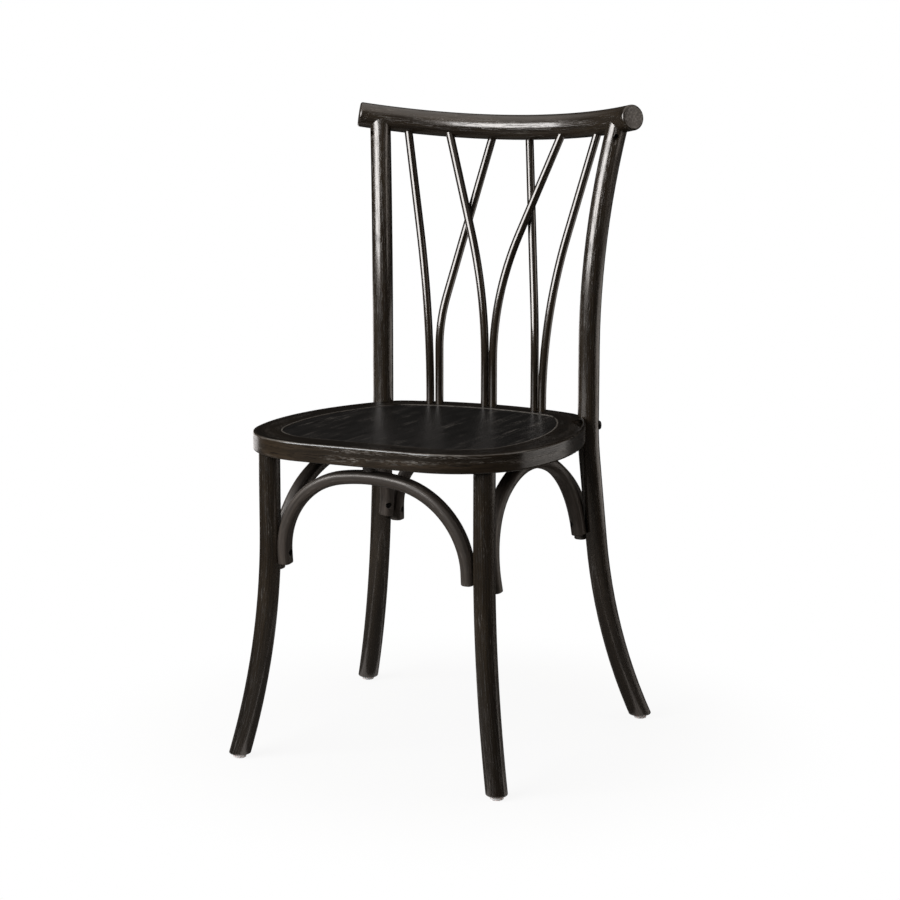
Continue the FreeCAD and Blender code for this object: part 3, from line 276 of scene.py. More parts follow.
CLOUD = Streaks(14.0 * MM, 170.0 * MM, shift=3.1, octaves=2.0, fade=(0.36, 0.68))
PATCH = Streaks(16.0 * MM, 70.0 * MM, shift=11.3, octaves=1.0, fade=(0.44, 0.62))
FIBRE = Streaks(0.45 * MM, 22.0 * MM, shift=41.0, octaves=2.0)
MOTTLE = Streaks(3.2 * MM, 3.2 * MM, shift=63.0, octaves=3.0, fade=(0.42, 0.60))
WANDER = Streaks(1 / 12, 1 / 5, shift=51.0, octaves=1.0)

# Year rings: how far they stray, how their heart leans, and where a ring turns to early wood and back
RING_WANDER, RING_WAVER, HEART_LEAN = 14.0 * MM, 2.0 * MM, 0.014
RING_OPENS, RING_CLOSES = (0.0, 0.35), (0.55, 1.0)

# Shares of the layers of wood; a pair goes from late to early wood, or from plain to mottled end grain
PORES_BY_RING, DASHES_BY_RING = (0.35, 1.0), (0.10, 1.0)
CLOUD_THINNING, RING_THINNING = 0.55, 0.30
PORE_DEPTH, PORE_DULLING = 0.85, 0.75
# The first value on the next line darkens the seat ring's flat top as painted shade; the second thins its
# pale dashes there.
TOP_PAINTED_SHADE, TOP_CALM = 0.80, 0.75
# The first pair on the next line gives the heights over which the painted shade of the legs fades out
# towards the floor.
FOOT_SHADE_FADE, END_FADE = (0.04, 0.24), (0.70, 0.97)
END_PALING, END_ROUGHENING = (0.10, 1.0), (0.50, 0.26)
PORE_ROUGHENING, CLOUD_ROUGHENING, FIBRE_ROUGHENING = 0.20, 0.14, 0.16
FIBRE_HEIGHT, RING_HEIGHT, END_HEIGHT = 0.45, 0.20, 2.0
RELIEF_DEPTH = 0.20 * MM


@dataclass(frozen=True)
class RimRubAndPaintedLight:
    """Top of the seat ring in its straightened section: rubbed arrises brightened with painted highlight,
    and painted shade on the flat top.

    Attributes:
        top: Height of the flat top above the section's middle.
        outer_edge: Outer edge of the flat top, counted inwards from the section's middle.
        inner_edge: Inner edge of the flat top, counted likewise.
        flat_depth: Depths below the top between which the painted shade fades in.
        arris_depth: Depths below the top between which the pale arris lines, rubbed lacquer and painted
            highlight, fade in.
        outer_width: Distances from the outer edge between which its pale arris line ends.
        inner_width: Distances from the inner edge between which its pale arris line fades in.
        outer_rub_and_highlight: Least and greatest paleness of the outer arris, from rubbed lacquer and
            painted highlight.
        inner_rub_and_highlight: Least and greatest paleness of the inner arris, from rubbed lacquer and
            painted highlight.
        rub_fade: Values of the streaks between which the arrises grow paler.
    """

    top: float
    outer_edge: float
    inner_edge: float
    flat_depth: tuple[float, float] = (1.2 * MM, 0.2 * MM)
    arris_depth: tuple[float, float] = (2.4 * MM, 0.6 * MM)
    outer_width: tuple[float, float] = (1.2 * MM, 3.0 * MM)
    inner_width: tuple[float, float] = (3.0 * MM, 1.0 * MM)
    outer_rub_and_highlight: tuple[float, float] = (0.40, 0.85)
    inner_rub_and_highlight: tuple[float, float] = (0.25, 0.70)
    rub_fade: tuple[float, float] = (0.40, 0.62)

    def flat(self, graph: Graph, grain: Signal) -> Signal:
        """Flat top of the ring, where painted shade makes it darker."""
        return graph.rise(graph.parts(grain), *(self.top - depth for depth in self.flat_depth))

    def rub_and_highlight(self, graph: Graph, grain: Signal, streak: Signal) -> Signal:
        """Pale lines along the outer and the inner top arris: rubbed lacquer brightened with painted
        highlight.

        Args:
            graph: Graph of the material.
            grain: Straightened place on the ring.
            streak: Noise drawn out along the grain.

        Returns:
            How pale the arrises are drawn, from rubbed lacquer and painted highlight.
        """
        height = graph.parts(grain)
        inwards = height.other("Y")
        upper = graph.rise(height, *(self.top - depth for depth in self.arris_depth))
        outside = 1.0 - graph.rise(inwards, *(self.outer_edge + width for width in self.outer_width))
        inside = graph.rise(inwards, *(self.inner_edge - width for width in self.inner_width))
        rubbed = graph.rise(streak, *self.rub_fade)
        outside = outside * rubbed.spread(*self.outer_rub_and_highlight)
        inside = inside * rubbed.spread(*self.inner_rub_and_highlight)
        return upper * (outside + inside)


@dataclass(frozen=True)
class LacqueredWood:
    """Black-stained open-grained wood under a satin lacquer; the grain attribute gives its direction.

    Attributes:
        pore_and_shade: Colour in the pores, and of the painted shade on the seat ring's flat top and
            towards the floor.
        pale_and_highlight: Colour of the pale dashes, and of the seat ring's rubbed arrises, which it also
            brightens as painted highlight.
        coat: Share of the polish on top.
        ring_pitch: Width of a year ring.
        heart: Place of the tree's heart across the piece.
        dash_share: How strongly the dashes show.
        chain: How closely the dashes keep to the early wood.
        unevenness: How much the roughness varies.
        foot_painted_shade: How much darker the piece is drawn towards the floor, as painted shade.
        rim_rub_and_painted_light: Rubbed arrises with painted highlight, and painted shade on the flat top,
            of the seat ring, if any.
    """

    name: str
    stain: Colour = (0.0120, 0.0082, 0.0050)
    thin_stain: Colour = (0.038, 0.0262, 0.0160)
    pore_and_shade: Colour = (0.0014, 0.0010, 0.0007)
    pale_and_highlight: Colour = (0.240, 0.215, 0.190)
    end_stain: Colour = (0.125, 0.115, 0.108)
    roughness: float = 0.22
    ior: float = LACQUER_IOR
    coat: float = 0.30
    coat_roughness: float = 0.10
    ring_pitch: float = 3.4 * MM
    heart: tuple[float, float] = (0.011, 0.019)
    pores: Streaks = open_pores(0.9 * MM, 24.0 * MM)
    dashes: Streaks = pale_dashes(1.0 * MM, 15.0 * MM, 0.62)
    dash_share: float = 0.55
    chain: float = 1.0
    relief: float = 0.42
    unevenness: float = 1.0
    foot_painted_shade: float = 0.0
    rim_rub_and_painted_light: Optional[RimRubAndPaintedLight] = None

    def build(self) -> bpy.types.Material:
        """Build the material.

        Returns:
            The material.
        """
        material, graph = new_material(self.name)
        grain = graph.add("ShaderNodeAttribute", {"attribute_name": GRAIN}, {}, "Vector")
        facing = graph.add("ShaderNodeAttribute", {"attribute_name": END_GRAIN}, {}, "Fac")
        end = graph.rise(facing, *END_FADE)
        mottle = MOTTLE.mask(graph, grain)
        cloud = CLOUD.noise(graph, grain)
        fibre = FIBRE.noise(graph, grain)
        rings = self.growth_rings(graph, grain, cloud)
        pores = self.pores.mask(graph, grain) * rings.spread(*PORES_BY_RING)
        streak = self.dashes.noise(graph, grain)
        dashes = graph.rise(streak, *self.dashes.fade) * PATCH.mask(graph, grain)
        dashes = dashes * (rings ** self.chain).spread(*DASHES_BY_RING)
        polish = (1.0 - pores * PORE_DULLING) * (1.0 - end)

        thinned = graph.rise(cloud, *CLOUD.fade) * CLOUD_THINNING + rings * RING_THINNING
        colour = graph.mix(thinned, self.stain, self.thin_stain)
        colour = graph.mix(pores * PORE_DEPTH, colour, self.pore_and_shade)
        # Painted shade: the seat ring's flat top is drawn darker, with fewer pale dashes and no coat.
        if self.rim_rub_and_painted_light:
            flat = self.rim_rub_and_painted_light.flat(graph, grain)
            polish = polish * (1.0 - flat)
            dashes = dashes * (1.0 - flat * TOP_CALM)
            colour = graph.mix(flat * TOP_PAINTED_SHADE, colour, self.pore_and_shade)
        # Painted shade: the colour darkens towards the floor, where less light falls on the legs.
        if self.foot_painted_shade:
            height = graph.parts(graph.add("ShaderNodeTexCoord", {}, {}, "Object")).other("Z")
            colour = graph.mix((1.0 - graph.rise(height, *FOOT_SHADE_FADE)) * self.foot_painted_shade, colour, self.pore_and_shade)
        colour = graph.mix(dashes * self.dash_share, colour, self.pale_and_highlight)
        # Painted highlight: the seat ring's top arrises are drawn pale, partly as rubbed lacquer.
        if self.rim_rub_and_painted_light:
            colour = graph.mix(self.rim_rub_and_painted_light.rub_and_highlight(graph, grain, streak), colour, self.pale_and_highlight)
        colour = graph.mix(end * mottle.spread(*END_PALING), colour, self.end_stain)

        uneven = pores * PORE_ROUGHENING + (cloud - NOISE_MIDDLE) * CLOUD_ROUGHENING
        uneven = uneven + (fibre - NOISE_MIDDLE) * FIBRE_ROUGHENING
        roughness = self.roughness + uneven * self.unevenness + end * mottle.spread(*END_ROUGHENING)
        height = fibre * FIBRE_HEIGHT + rings * RING_HEIGHT - pores
        height = height * (1.0 - end) + mottle * end * END_HEIGHT
        graph.finish_with(graph.add("ShaderNodeBsdfPrincipled", {}, {
            "Base Color": colour,
            "Roughness": roughness,
            "IOR": self.ior,
            "Specular Tint": LACQUER_TINT,
            "Coat Weight": polish * self.coat,
            "Coat Roughness": self.coat_roughness,
            "Coat IOR": LACQUER_IOR,
            "Normal": graph.bump(height, self.relief, RELIEF_DEPTH),
        }))
        return material

    def growth_rings(self, graph: Graph, grain: Signal, cloud: Signal) -> Signal:
        """Year rings about a heart beside the piece, wandering along it.

        Args:
            graph: Graph of the material.
            grain: Straightened place on the piece.
            cloud: Slow noise that bends the rings.

        Returns:
            A value from 0 in late wood to 1 in early wood.
        """
        axes = graph.parts(grain)
        across = axes + self.heart[0] + axes.other("Z") * HEART_LEAN
        depth = axes.other("Y") + self.heart[1]
        radius = (across * across + depth * depth) ** 0.5
        radius = radius + WANDER.noise(graph, grain) * RING_WANDER + cloud * RING_WAVER
        turn = (radius / self.ring_pitch).fraction()
        return graph.rise(turn, *RING_OPENS) * (1.0 - graph.rise(turn, *RING_CLOSES))


@dataclass(frozen=True)
class MouldedPlastic:
    """Pale plastic with a faint mottle and scuffs, a little translucent."""

    name: str
    colour: Colour = (0.90, 0.80, 0.77)
    scuffed: Colour = (0.66, 0.57, 0.54)
    roughness: float = 0.46
    ior: float = 1.5
    mottle_scale: tuple[float, float, float] = (500.0, 500.0, 500.0)
    scuff_scale: tuple[float, float, float] = (900.0, 240.0, 900.0)
    scuff_fade: tuple[float, float] = (0.58, 0.70)
    scuff_share: float = 0.25
    scuff_roughening: float = 0.2
    floor_fade: tuple[float, float] = (0.1 * MM, 0.8 * MM)
    floor_share: float = 0.4
    translucence: float = 0.7
    glow: Colour = (1.0, 0.85, 0.80)
    glow_depth: float = 6.0 * MM
    relief: float = 0.1
    relief_depth: float = 0.1 * MM

    def build(self) -> bpy.types.Material:
        """Build the material.

        Returns:
            The material.
        """
        material, graph = new_material(self.name)
        place = graph.add("ShaderNodeTexCoord", {}, {}, "Object")
        mottle = graph.noise(place, self.mottle_scale, shift=2.0, octaves=3.0)
        scuff = graph.noise(place, self.scuff_scale, shift=9.0, octaves=2.0)
        scuff = graph.rise(scuff, *self.scuff_fade)
        near_floor = 1.0 - graph.rise(graph.parts(place).other("Z"), *self.floor_fade)
        worn = scuff * self.scuff_share + near_floor * mottle * self.floor_share
        graph.finish_with(graph.add("ShaderNodeBsdfPrincipled", {}, {
            "Base Color": graph.mix(worn, self.colour, self.scuffed),
            "Roughness": self.roughness + scuff * self.scuff_roughening,
            "IOR": self.ior,
            "Subsurface Weight": self.translucence,
            "Subsurface Radius": self.glow,
            "Subsurface Scale": self.glow_depth,
            "Normal": graph.bump(mottle, self.relief, self.relief_depth),
        }))
        return material


@dataclass(frozen=True)
class Metal:
    """Bare or blackened metal with fine turning marks."""

    name: str
    colour: Colour
    rubbed: Colour
    metallic: float
    roughness: float
    mark_scale: tuple[float, float, float] = (1500.0, 1500.0, 300.0)
    mark_roughening: float = 0.25
    patch_scale: tuple[float, float, float] = (260.0, 260.0, 260.0)
    patch_fade: tuple[float, float] = (0.52, 0.70)
    patch_share: float = 0.6
    relief: float = 0.15
    relief_depth: float = 0.05 * MM

    def build(self) -> bpy.types.Material:
        """Build the material.

        Returns:
            The material.
        """
        material, graph = new_material(self.name)
        place = graph.add("ShaderNodeTexCoord", {}, {}, "Object")
        marks = graph.noise(place, self.mark_scale, shift=4.0, octaves=3.0)
        patches = graph.noise(place, self.patch_scale, shift=13.0, octaves=2.0)
        patches = graph.rise(patches, *self.patch_fade)
        graph.finish_with(graph.add("ShaderNodeBsdfPrincipled", {}, {
            "Base Color": graph.mix(patches * self.patch_share, self.colour, self.rubbed),
            "Roughness": self.roughness + (marks - NOISE_MIDDLE) * self.mark_roughening,
            "Metallic": self.metallic,
            "Normal": graph.bump(marks, self.relief, self.relief_depth),
        }))
        return material


# Centre lines

SECTION_STEP = 8.0 * MM
POLE_MARGIN, RAIL_MARGIN = 22.0 * MM, 12.0 * MM
FAN_STEP = 3.0
NEVER_ZERO = 1e-30
X_AXIS, Y_AXIS, Z_AXIS = np.eye(3)


class Route(Enum):
    """How a piece's grain runs."""

    UPRIGHT = "up a pole"
    CROSSWISE = "along a rail"
    ARCH = "round an arch"
    RING = "round the seat"
    BOARD = "from front to back of a board"


@dataclass(frozen=True)
class Section:
    """Plane that cuts a piece, or half of one that starts at its origin and goes towards a side."""

    origin: np.ndarray
    normal: np.ndarray
    across: np.ndarray
    half: bool = False

    def centre(self, points: np.ndarray, edges: np.ndarray) -> Optional[np.ndarray]:
        """Middle of the cut through a mesh.

        Args:
            points: Vertices of the mesh.
            edges: Pairs of vertices.

        Returns:
            The middle of the cut's extent, or nothing where the plane misses the mesh.
        """
        offset = (points - self.origin) @ self.normal
        first, second = offset[edges[:, 0]], offset[edges[:, 1]]
        crossing = first * second < 0
        if not crossing.any():
            return None
        share = (first / (first - second + NEVER_ZERO))[crossing, None]
        starts, ends = points[edges[crossing, 0]], points[edges[crossing, 1]]
        cut = starts + (ends - starts) * share - self.origin
        along = np.cross(self.normal, self.across)
        if self.half:
            cut = cut[cut @ self.across > 0]
        if not len(cut):
            return None
        middle = self.origin.copy()
        for axis in (self.across, along):
            reach = cut @ axis
            middle = middle + axis * (reach.min() + reach.max()) / 2
        return middle


class Spine:
    """Centre line of a bent piece, with a frame that follows it and doesn't twist."""

    def __init__(self, points: np.ndarray, side: np.ndarray, closed: bool = False) -> None:
        """Work out lengths and frames.

        Args:
            points: Points of the line, in order.
            side: Direction of the frame's first axis at the start.
            closed: Whether the line comes back to its start.
        """
        self.closed = closed
        self.points = np.vstack([points, points[:1]]) if closed else points
        steps = np.diff(self.points, axis=0)
        self.lengths = np.linalg.norm(steps, axis=1)
        self.starts = np.concatenate([[0.0], np.cumsum(self.lengths)])
        unit = steps / self.lengths[:, None]
        before, after = np.vstack([unit[:1], unit]), np.vstack([unit, unit[-1:]])
        if closed:
            before[0], after[-1] = unit[-1], unit[0]
        self.tangents = before + after
        self.tangents /= np.linalg.norm(self.tangents, axis=1)[:, None]
        sides = []
        for tangent in self.tangents:
            side = side - tangent * (side @ tangent)
            side = side / np.linalg.norm(side)
            sides.append(side)
        self.sides = np.array(sides)

    def straightened(self, places: np.ndarray) -> tuple[np.ndarray, np.ndarray]:
        """Places as they would be if the piece were bent straight.

        Args:
            places: Points on the piece.

        Returns:
            For each place, two offsets from the line and the length along it, and the line's direction.
        """
        base, step = self.points[:-1], np.diff(self.points, axis=0)
        share = np.einsum("psk,sk->ps", places[:, None, :] - base, step) / self.lengths ** 2
        low, high = np.zeros(len(base)), np.ones(len(base))
        if not self.closed:
            low[0], high[-1] = -np.inf, np.inf
        share = np.clip(share, low, high)
        nearest = base + share[:, :, None] * step
        gap = np.linalg.norm(places[:, None, :] - nearest, axis=2)
        pick = gap.argmin(axis=1)
        rows = np.arange(len(places))
        share = share[rows, pick]
        blend = np.clip(share, 0.0, 1.0)[:, None]
        side = self.sides[pick] * (1 - blend) + self.sides[pick + 1] * blend
        tangent = self.tangents[pick] * (1 - blend) + self.tangents[pick + 1] * blend
        side /= np.linalg.norm(side, axis=1)[:, None]
        tangent /= np.linalg.norm(tangent, axis=1)[:, None]
        offset = places - nearest[rows, pick]
        along = self.starts[pick] + share * self.lengths[pick]
        other = np.cross(tangent, side)
        return np.column_stack([(offset * side).sum(1), (offset * other).sum(1), along]), tangent


def mesh_arrays(mesh: bpy.types.Mesh) -> tuple[np.ndarray, np.ndarray]:
    """Vertices and edges of a mesh.

    Args:
        mesh: The mesh.

    Returns:
        Vertex places and pairs of vertex numbers.
    """
    points = np.empty(len(mesh.vertices) * 3)
    mesh.vertices.foreach_get("co", points)
    edges = np.empty(len(mesh.edges) * 2, dtype=np.int64)
    mesh.edges.foreach_get("vertices", edges)
    return points.reshape(-1, 3), edges.reshape(-1, 2)


def line_sections(points: np.ndarray, axis: int, step: float, margin: float) -> list[Section]:
    """Sections across a pole, at even steps along one axis.

    Args:
        points: Vertices of the pole.
        axis: Which axis the pole runs along.
        step: Distance between sections.
        margin: Length left out at each end.

    Returns:
        The sections.
    """
    low, high = points[:, axis].min() + margin, points[:, axis].max() - margin
    normal, across = np.eye(3)[axis], np.eye(3)[(axis + 1) % 3]
    count = max(3, round((high - low) / step))
    return [Section(normal * level, normal, across) for level in np.linspace(low, high, count)]


def arch_sections(points: np.ndarray, step: float) -> tuple[list[Section], np.ndarray]:
    """Sections across an arch, fanned out about the middle between its feet.

    Args:
        points: Vertices of the arch.
        step: Angle between sections, in degrees.

    Returns:
        The sections and the direction across the arch's plane.
    """
    middle = points.mean(axis=0)
    _, axes = np.linalg.eigh(np.cov((points - middle).T))
    across = axes[:, 0]
    rising = max((axes[:, 1], axes[:, 2]), key=lambda axis: abs(axis[2]))
    rising = rising * np.sign(rising[2])
    chord = np.cross(across, rising)
    reach, climb = (points - middle) @ chord, (points - middle) @ rising
    pivot = middle + chord * (reach.min() + reach.max()) / 2 + rising * climb.min()
    sections = []
    for turn in np.radians(np.arange(step, 180.0, step)):
        outwards = -chord * math.cos(turn) + rising * math.sin(turn)
        sections.append(Section(pivot, np.cross(across, outwards), outwards, half=True))
    return sections, across


def ring_sections(points: np.ndarray, step: float) -> list[Section]:
    """Half-plane sections round the seat, starting in the middle of its rear.

    Args:
        points: Vertices of the ring.
        step: Angle between sections, in degrees.

    Returns:
        The sections.
    """
    pivot = (points.min(axis=0) + points.max(axis=0)) / 2
    sections = []
    for turn in np.radians(np.arange(0.0, 360.0, step)):
        outwards = np.array([math.sin(turn), math.cos(turn), 0.0])
        sections.append(Section(pivot, np.cross(Z_AXIS, outwards), outwards, half=True))
    return sections


def find_spine(mesh: bpy.types.Mesh, route: Route) -> Spine:
    """Centre line of a piece, from cuts through its mesh.

    Args:
        mesh: Merged mesh of the piece.
        route: How its grain runs.

    Returns:
        The centre line.
    """
    points, edges = mesh_arrays(mesh)
    if route is Route.UPRIGHT:
        sections, side = line_sections(points, 2, SECTION_STEP, POLE_MARGIN), X_AXIS
    elif route is Route.CROSSWISE:
        sections, side = line_sections(points, 0, SECTION_STEP, RAIL_MARGIN), Z_AXIS
    elif route is Route.ARCH:
        sections, side = arch_sections(points, FAN_STEP)
    else:
        sections, side = ring_sections(points, FAN_STEP), Z_AXIS
    centres = [section.centre(points, edges) for section in sections]
    return Spine(np.array([centre for centre in centres if centre is not None]), side, route is Route.RING)


# Wooden pieces

@dataclass(frozen=True)
class WoodPiece:
    """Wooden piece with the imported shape, dressed so that its grain follows its bends."""

    node: str
    route: Route
    slot: str = "dark_wood"

    def build(self, material: bpy.types.Material) -> bpy.types.Object:
        """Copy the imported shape, merge it, give it its grain and put it in its place.

        Args:
            material: Finish of the piece.

        Returns:
            The dressed piece.
        """
        mesh = merged_copy(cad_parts[self.node], f"{self.node}_lacquered")
        self.lay_grain(mesh)
        mesh.materials.clear()
        mesh.materials.append(material)
        piece = place_mesh(mesh)
        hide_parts(self.node)
        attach(piece, BODY)
        log.info("%s: %d faces, grain %s", piece.name, len(mesh.polygons), self.route.value)
        return piece

    def lay_grain(self, mesh: bpy.types.Mesh) -> None:
        """Store the straightened place of every corner, and how far it faces along the grain.

        Args:
            mesh: Merged mesh of the piece.
        """
        points, _ = mesh_arrays(mesh)
        if self.route is Route.BOARD:
            straight, girth = points[:, [0, 2, 1]], 0.0
            ways = np.tile(Y_AXIS, (len(points), 1))
        else:
            spine = find_spine(mesh, self.route)
            straight, ways = spine.straightened(points)
            girth = float(spine.starts[-1])
        corners = np.empty(len(mesh.loops), dtype=np.int64)
        mesh.loops.foreach_get("vertex_index", corners)
        laid = straight[corners]
        if self.route is Route.RING:
            # A triangle across the ring's scarf joint keeps all its corners on one side of it.
            along = laid[:, 2].reshape(-1, 3)
            behind = along < along.max(axis=1, keepdims=True) - girth / 2
            laid[:, 2] = np.where(behind, along + girth, along).ravel()
        layer = mesh.attributes.new(GRAIN, "FLOAT_VECTOR", "CORNER")
        layer.data.foreach_set("vector", laid.astype(np.float32).ravel())
        normals = np.empty(len(mesh.loops) * 3, dtype=np.float32)
        mesh.corner_normals.foreach_get("vector", normals)
        facing = np.abs((normals.reshape(-1, 3) * ways[corners]).sum(axis=1))
        layer = mesh.attributes.new(END_GRAIN, "FLOAT", "CORNER")
        layer.data.foreach_set("value", facing.astype(np.float32))


def merged_copy(node: bpy.types.Object, name: str) -> bpy.types.Mesh:
    """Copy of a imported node's mesh with its triangles joined and its normals kept.

    Args:
        node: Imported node.
        name: Name of the copy.

    Returns:
        The merged mesh.
    """
    mesh = node.data.copy()
    mesh.name = name
    spare = "kept_normal"
    normals = np.empty(len(mesh.loops) * 3, dtype=np.float32)
    mesh.corner_normals.foreach_get("vector", normals)
    mesh.attributes.new(spare, "FLOAT_VECTOR", "CORNER").data.foreach_set("vector", normals)
    work = bmesh.new()
    work.from_mesh(mesh)
    bmesh.ops.remove_doubles(work, verts=work.verts, dist=WELD_DISTANCE)
    work.to_mesh(mesh)
    work.free()
    kept = np.empty(len(mesh.loops) * 3, dtype=np.float32)
    mesh.attributes[spare].data.foreach_get("vector", kept)
    mesh.normals_split_custom_set(kept.reshape(-1, 3))
    mesh.attributes.remove(mesh.attributes[spare])
    return mesh


def place_mesh(mesh: bpy.types.Mesh) -> bpy.types.Object:
    """Put a mesh into the scene as an object of its name.

    Args:
        mesh: The mesh.

    Returns:
        The object.
    """
    piece = bpy.data.objects.new(mesh.name, mesh)
    bpy.context.scene.collection.objects.link(piece)
    return piece


# Swept rods

class RodTree:
    """Geometry nodes that sweep a round rod along a line of edges."""

    SIDES = 40
    SHARP_ANGLE = math.radians(40)

    def __init__(self, name: str) -> None:
        """Build the tree.

        Args:
            name: Name of the tree.
        """
        self.group = bpy.data.node_groups.new(name, "GeometryNodeTree")
        self.new_input("Geometry", "NodeSocketGeometry")
        self.diameter = self.new_input("Diameter", "NodeSocketFloat")
        self.sides = self.new_input("Sides", "NodeSocketInt")
        self.finish = self.new_input("Finish", "NodeSocketMaterial")
        self.group.interface.new_socket("Geometry", in_out="OUTPUT", socket_type="NodeSocketGeometry")
        graph = Graph(self.group)
        source = graph.add("NodeGroupInput", {}, {}, "Geometry")
        line = graph.add("GeometryNodeMeshToCurve", {}, {"Mesh": source})
        length = graph.add("GeometryNodeSplineParameter", {}, {}, "Length")
        line = self.stored(graph, line, "FLOAT", "along", length)
        radius = source.other("Diameter") / 2.0
        circle = graph.add("GeometryNodeCurvePrimitiveCircle", {}, {
            "Resolution": source.other("Sides"), "Radius": radius,
        })
        spot = graph.add("GeometryNodeInputPosition")
        circle = self.stored(graph, circle, "FLOAT_VECTOR", "around", spot)
        girth = self.named(graph, "FLOAT", "girth")
        rod = graph.add("GeometryNodeCurveToMesh", {}, {
            "Curve": line, "Profile Curve": circle, "Scale": girth, "Fill Caps": True,
        })
        around = graph.parts(self.named(graph, "FLOAT_VECTOR", "around"))
        grain = graph.add("ShaderNodeCombineXYZ", {}, {
            "X": around, "Y": around.other("Y"), "Z": self.named(graph, "FLOAT", "along"),
        })
        rod = self.stored(graph, rod, "FLOAT_VECTOR", GRAIN, grain)
        rod = graph.add("GeometryNodeSetShadeSmooth", {}, {"Geometry": rod})
        rod = graph.add("GeometryNodeRealizeInstances", {}, {"Geometry": rod})
        finished = {"Geometry": rod, "Material": source.other("Finish")}
        rod = graph.add("GeometryNodeSetMaterial", {}, finished)
        graph.add("NodeGroupOutput", {}, {0: rod})

    def new_input(self, name: str, kind: str) -> str:
        """Add a named input to the tree and hand back its identifier."""
        return self.group.interface.new_socket(name, in_out="INPUT", socket_type=kind).identifier

    @staticmethod
    def stored(graph: Graph, geometry: Signal, kind: str, name: str, value: Signal) -> Signal:
        """Store a named attribute on a geometry's points.

        Args:
            graph: Graph of the tree.
            geometry: Geometry to store it on.
            kind: Data type of the attribute.
            name: Name of the attribute.
            value: What is stored.

        Returns:
            The geometry with the attribute.
        """
        settings = {"data_type": kind, "domain": "POINT"}
        inputs = {0: geometry, "Name": name, "Value": value}
        return graph.add("GeometryNodeStoreNamedAttribute", settings, inputs)

    @staticmethod
    def named(graph: Graph, kind: str, name: str) -> Signal:
        """Named attribute of the geometry."""
        return graph.add("GeometryNodeInputNamedAttribute", {"data_type": kind}, {"Name": name})

    def sweep(
        self, name: str, line: np.ndarray, girth: np.ndarray, diameter: float, material: bpy.types.Material,
    ) -> bpy.types.Mesh:
        """Sweep one rod.

        Args:
            name: Name of the rod.
            line: Points of its centre line.
            girth: Share of the diameter at each point.
            diameter: Full diameter.
            material: Finish of the rod.

        Returns:
            The rod's mesh.
        """
        mesh = bpy.data.meshes.new(f"{name}_line")
        mesh.from_pydata(line.tolist(), [(i, i + 1) for i in range(len(line) - 1)], [])
        mesh.attributes.new("girth", "FLOAT", "POINT").data.foreach_set("value", girth.astype(np.float32))
        source = place_mesh(mesh)
        modifier = source.modifiers.new("rod", "NODES")
        modifier.node_group = self.group
        modifier[self.diameter] = diameter
        modifier[self.sides] = self.SIDES
        modifier[self.finish] = material
        evaluated = source.evaluated_get(bpy.context.evaluated_depsgraph_get())
        rod = bpy.data.meshes.new_from_object(evaluated)
        rod.name = name
        bpy.data.objects.remove(source)
        for spare in ("along", "around", "girth"):
            if spare in rod.attributes:
                rod.attributes.remove(rod.attributes[spare])
        rod.set_sharp_from_angle(angle=self.SHARP_ANGLE)
        return rod


# Sub-assemblies

@dataclass(frozen=True)
class Seat:
    """Bent ring with a panel let into it; its rim's edges are counted inwards from its section's middle."""

    ring: str = "seat_frame"
    panel: str = "seat_panel"
    rim_outside: float = -44.0 * MM
    rim_inside: float = -2.0 * MM

    def build(self) -> None:
        """Dress the ring and the panel."""
        low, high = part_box(self.ring)
        # The ring gets painted shade on its flat top and painted highlight along its top arrises.
        ring_wood = LacqueredWood(
            "ring_lacquer", stain=(0.0150, 0.0100, 0.0058), thin_stain=(0.0460, 0.0305, 0.0178),
            roughness=0.40, ior=1.20, coat=0.75, coat_roughness=0.20, ring_pitch=6.5 * MM,
            dashes=pale_dashes(0.6 * MM, 7.0 * MM, 0.53), dash_share=0.75, chain=2.2,
            relief=0.10, unevenness=0.6,
            rim_rub_and_painted_light=RimRubAndPaintedLight((high.z - low.z) / 2, self.rim_outside, self.rim_inside),
        )
        panel_wood = LacqueredWood(
            "panel_lacquer", stain=(0.0078, 0.0072, 0.0068), thin_stain=(0.0165, 0.0150, 0.0140),
            roughness=0.33, ior=1.15, coat=0.0, ring_pitch=16.0 * MM, heart=(0.31, 0.02),
            pores=open_pores(1.1 * MM, 60.0 * MM), dashes=pale_dashes(0.9 * MM, 70.0 * MM, 0.58),
            dash_share=0.50, relief=0.012, unevenness=0.25,
        )
        WoodPiece(self.ring, Route.RING).build(ring_wood.build())
        WoodPiece(self.panel, Route.BOARD, "panel_wood").build(panel_wood.build())


@dataclass(frozen=True)
class Frame:
    """Legs and top rail in one finish, arches and spacers in a duller one."""

    poles: tuple[str, ...] = ("rear_leg_left", "rear_leg_right", "front_leg_left", "front_leg_right")
    rail: str = "top_rail"
    arches: tuple[str, ...] = ("front_brace", "rear_brace", "left_brace", "right_brace")
    spacers: str = "brace_spacers"

    def build(self) -> None:
        """Dress every piece."""
        # The legs are drawn darker towards the floor as painted shade.
        poles = LacqueredWood("frame_lacquer", foot_painted_shade=0.65).build()
        arches = LacqueredWood(
            "arch_lacquer", stain=(0.0280, 0.0215, 0.0168), thin_stain=(0.072, 0.0555, 0.0440),
            roughness=0.44, coat=0.06, coat_roughness=0.25, relief=0.12, unevenness=0.6,
        ).build()
        for node in self.poles:
            WoodPiece(node, Route.UPRIGHT).build(poles)
        WoodPiece(self.rail, Route.CROSSWISE).build(poles)
        for node in self.arches:
            WoodPiece(node, Route.ARCH).build(arches)
        WoodPiece(self.spacers, Route.BOARD).build(arches)


